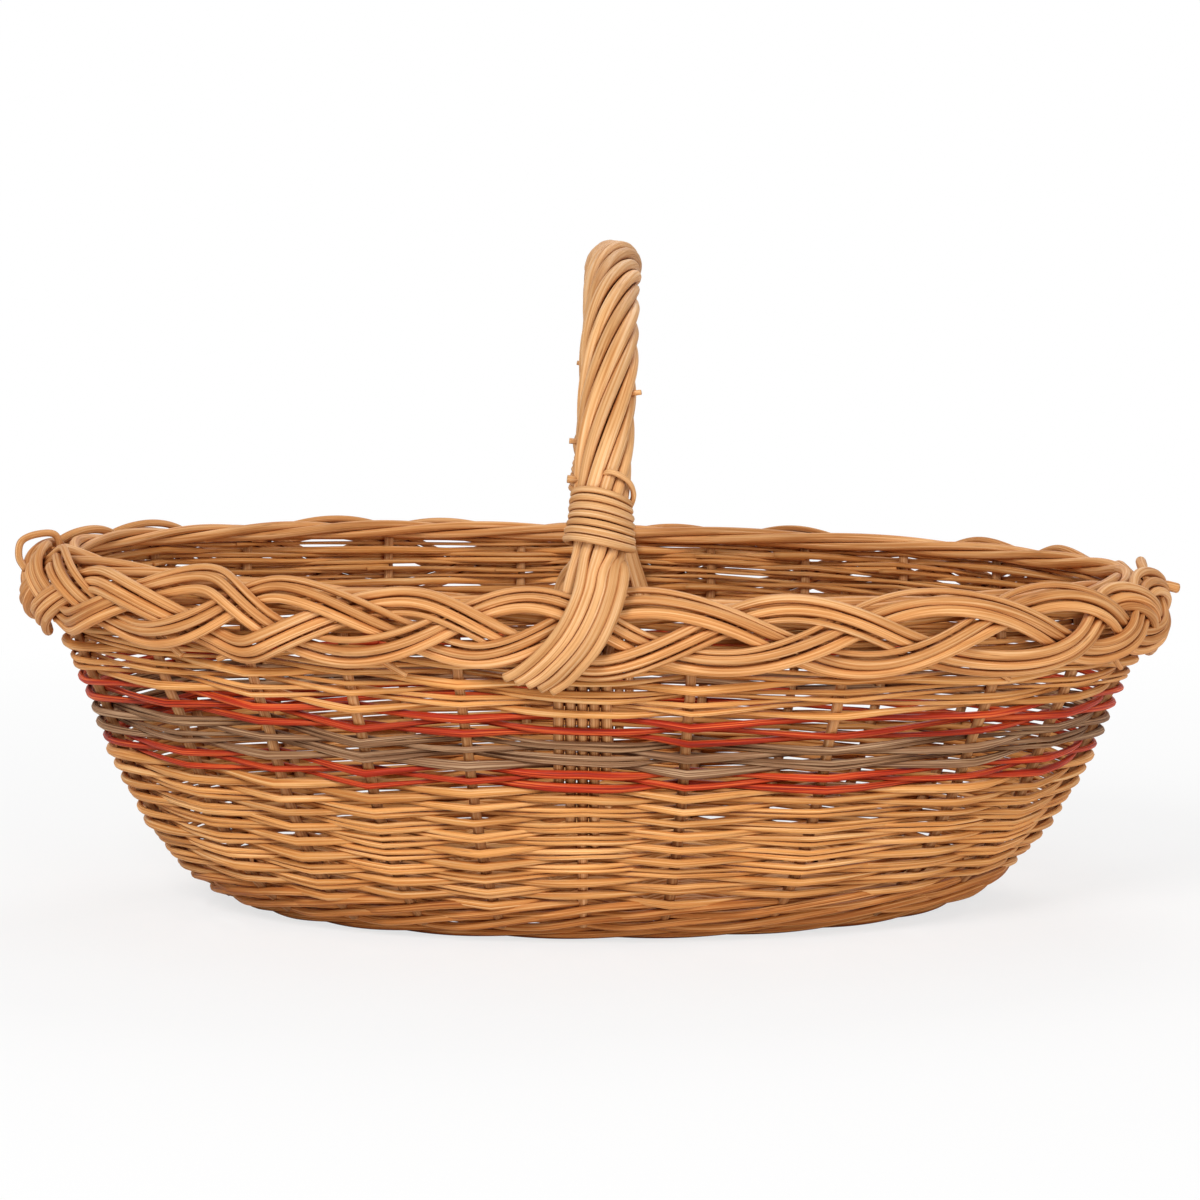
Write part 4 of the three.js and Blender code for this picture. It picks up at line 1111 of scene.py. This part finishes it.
base_weave = Rods()
for row in range(BASE_ROWS):
    share = row / (BASE_ROWS - 1)
    width = BASE_INNER_WIDTH + share * (BASE_OUTER_WIDTH - BASE_INNER_WIDTH)
    length = BASE_INNER_LENGTH + share * (BASE_OUTER_LENGTH - BASE_INNER_LENGTH)
    spokes = base_spokes(length)
    angle = np.linspace(0, FULL_TURN, BASE_FIRST_STEPS + BASE_ROW_STEPS * row, endpoint=False)
    phase = np.interp(angle, spokes + [FULL_TURN], range(len(spokes) + 1))
    between = np.sin(HALF_TURN * phase)
    for pair_side in (-1, 1):
        over = pair_side * (-1) ** row * np.cos(HALF_TURN * phase)
        spread = BASE_SPREAD * pair_side * between + ripple(angle, row, BASE_SPREAD_WAVES)
        level = BASE_MIDDLE + BASE_SWING * over + BASE_STACK * pair_side * np.abs(between)
        route = np.stack([(length + spread) * np.cos(angle), (width + spread) * np.sin(angle), level],
                         axis=-1)
        thickness = noise.uniform(*BASE_ROD_SHARES) + ripple(angle, row, BASE_RADIUS_WAVES)
        # Painted shade: each base rod is darker midway between the sticks
        base_weave.add(route, UP, BASE_ROD_RADIUS * thickness, sides=THIN_ROD_SIDES, closed=True,
                       shade=1 - INSIDE_SHADE_SHARE * between ** 2)
base_weave.build("base_weavers", BUFF, ["base_weave"])

# Camera, with its focal length in pixels of a picture this wide
SENSOR_WIDTH = 36
PICTURE_PIXELS = 1200
FOCAL_PIXELS = 3663
CAMERA_PLACE = (0.0015, -1.8, 0.34)
CAMERA_PITCH = 6.1 * DEGREE
camera_data = bpy.data.cameras.new("view")
camera_data.sensor_width = SENSOR_WIDTH
camera_data.lens = SENSOR_WIDTH * FOCAL_PIXELS / PICTURE_PIXELS
camera = new_object("view", camera_data)
camera.location = CAMERA_PLACE
camera.rotation_euler = (HALF_TURN / 2 - CAMERA_PITCH, 0, 0)
bpy.context.scene.camera = camera

# Lamps: name, place, point aimed at, size and power of each
LAMPS = [
    ("key", (-0.9, -2.0, 1.7), (0, 0, 0.1), 1.0, 37),
    ("fill", (1.2, -2.0, 0.5), (0, 0, 0.08), 1.4, 19),
    ("back", (0.4, 1.5, 1.7), (0, 0, 0.15), 1.0, 12),
]


def area_light(name, place, aim, size, power):
    data = bpy.data.lights.new(name, "AREA")
    data.shape = "DISK"
    data.size = size
    data.energy = power
    lamp = new_object(name, data)
    lamp.location = place
    lamp.rotation_euler = (Vector(aim) - Vector(place)).to_track_quat("-Z", "Y").to_euler()


for settings in LAMPS:
    area_light(*settings)

# Surroundings: white where they are seen, dimmer as light
WORLD_LIGHT = 0.42
WORLD_SEEN = 1.0
world = bpy.data.worlds.new("studio")
bpy.context.scene.world = world
sky = Nodes(world)
background = sky.nodes["Background"].inputs
sky_path = sky.add("ShaderNodeLightPath").outputs
seen = sky.maths("MAXIMUM", sky_path["Is Camera Ray"], sky_path["Is Glossy Ray"])
sky.feed(background["Color"], WHITE)
sky.feed(background["Strength"], sky.moved_range(seen, (0, 1), (WORLD_LIGHT, WORLD_SEEN)))

# Floor: pale under the basket, with its shadow, and fading to white away from it
FLOOR_REACH = 6
FLOOR_CORNERS = [(-1, -1), (1, -1), (1, 1), (-1, 1)]
FLOOR_DROP = 0.4 * MM
FLOOR_TONE = (0.9, 0.9, 0.9, 1)
FLOOR_ROUGHNESS = 0.9
FADE_DISTANCES = (0.25, 1.1)
FADE_SHARES = (0.72, 1.0)
floor_mesh = bpy.data.meshes.new("floor")
corners = [(x * FLOOR_REACH, y * FLOOR_REACH, 0) for x, y in FLOOR_CORNERS]
floor_mesh.from_pydata(corners, [], [range(len(corners))])
floor = new_object("floor", floor_mesh)
floor.location = (0, 0, -FLOOR_DROP)
floor_material = bpy.data.materials.new("floor")
ground = Nodes(floor_material)
surface = ground.nodes["Principled BSDF"]
ground.feed(surface.inputs["Base Color"], FLOOR_TONE)
ground.feed(surface.inputs["Roughness"], FLOOR_ROUGHNESS)
glow = ground.add("ShaderNodeEmission")
ground.feed(glow.inputs["Strength"], 1.0)
distance = ground.add("ShaderNodeVectorMath", operation="LENGTH")
ground.feed(distance.inputs[0], ground.add("ShaderNodeTexCoord").outputs["Object"])
fade = ground.moved_range(distance.outputs["Value"], FADE_DISTANCES, FADE_SHARES)
camera_ray = ground.add("ShaderNodeLightPath").outputs["Is Camera Ray"]
blend = ground.add("ShaderNodeMixShader")
ground.feed(blend.inputs[0], ground.maths("MULTIPLY", camera_ray, fade))
ground.feed(blend.inputs[1], surface.outputs[0])
ground.feed(blend.inputs[2], glow.outputs[0])
ground.feed(ground.nodes["Material Output"].inputs["Surface"], blend.outputs[0])
floor_mesh.materials.append(floor_material)

bpy.context.scene.view_settings.view_transform = "Standard"
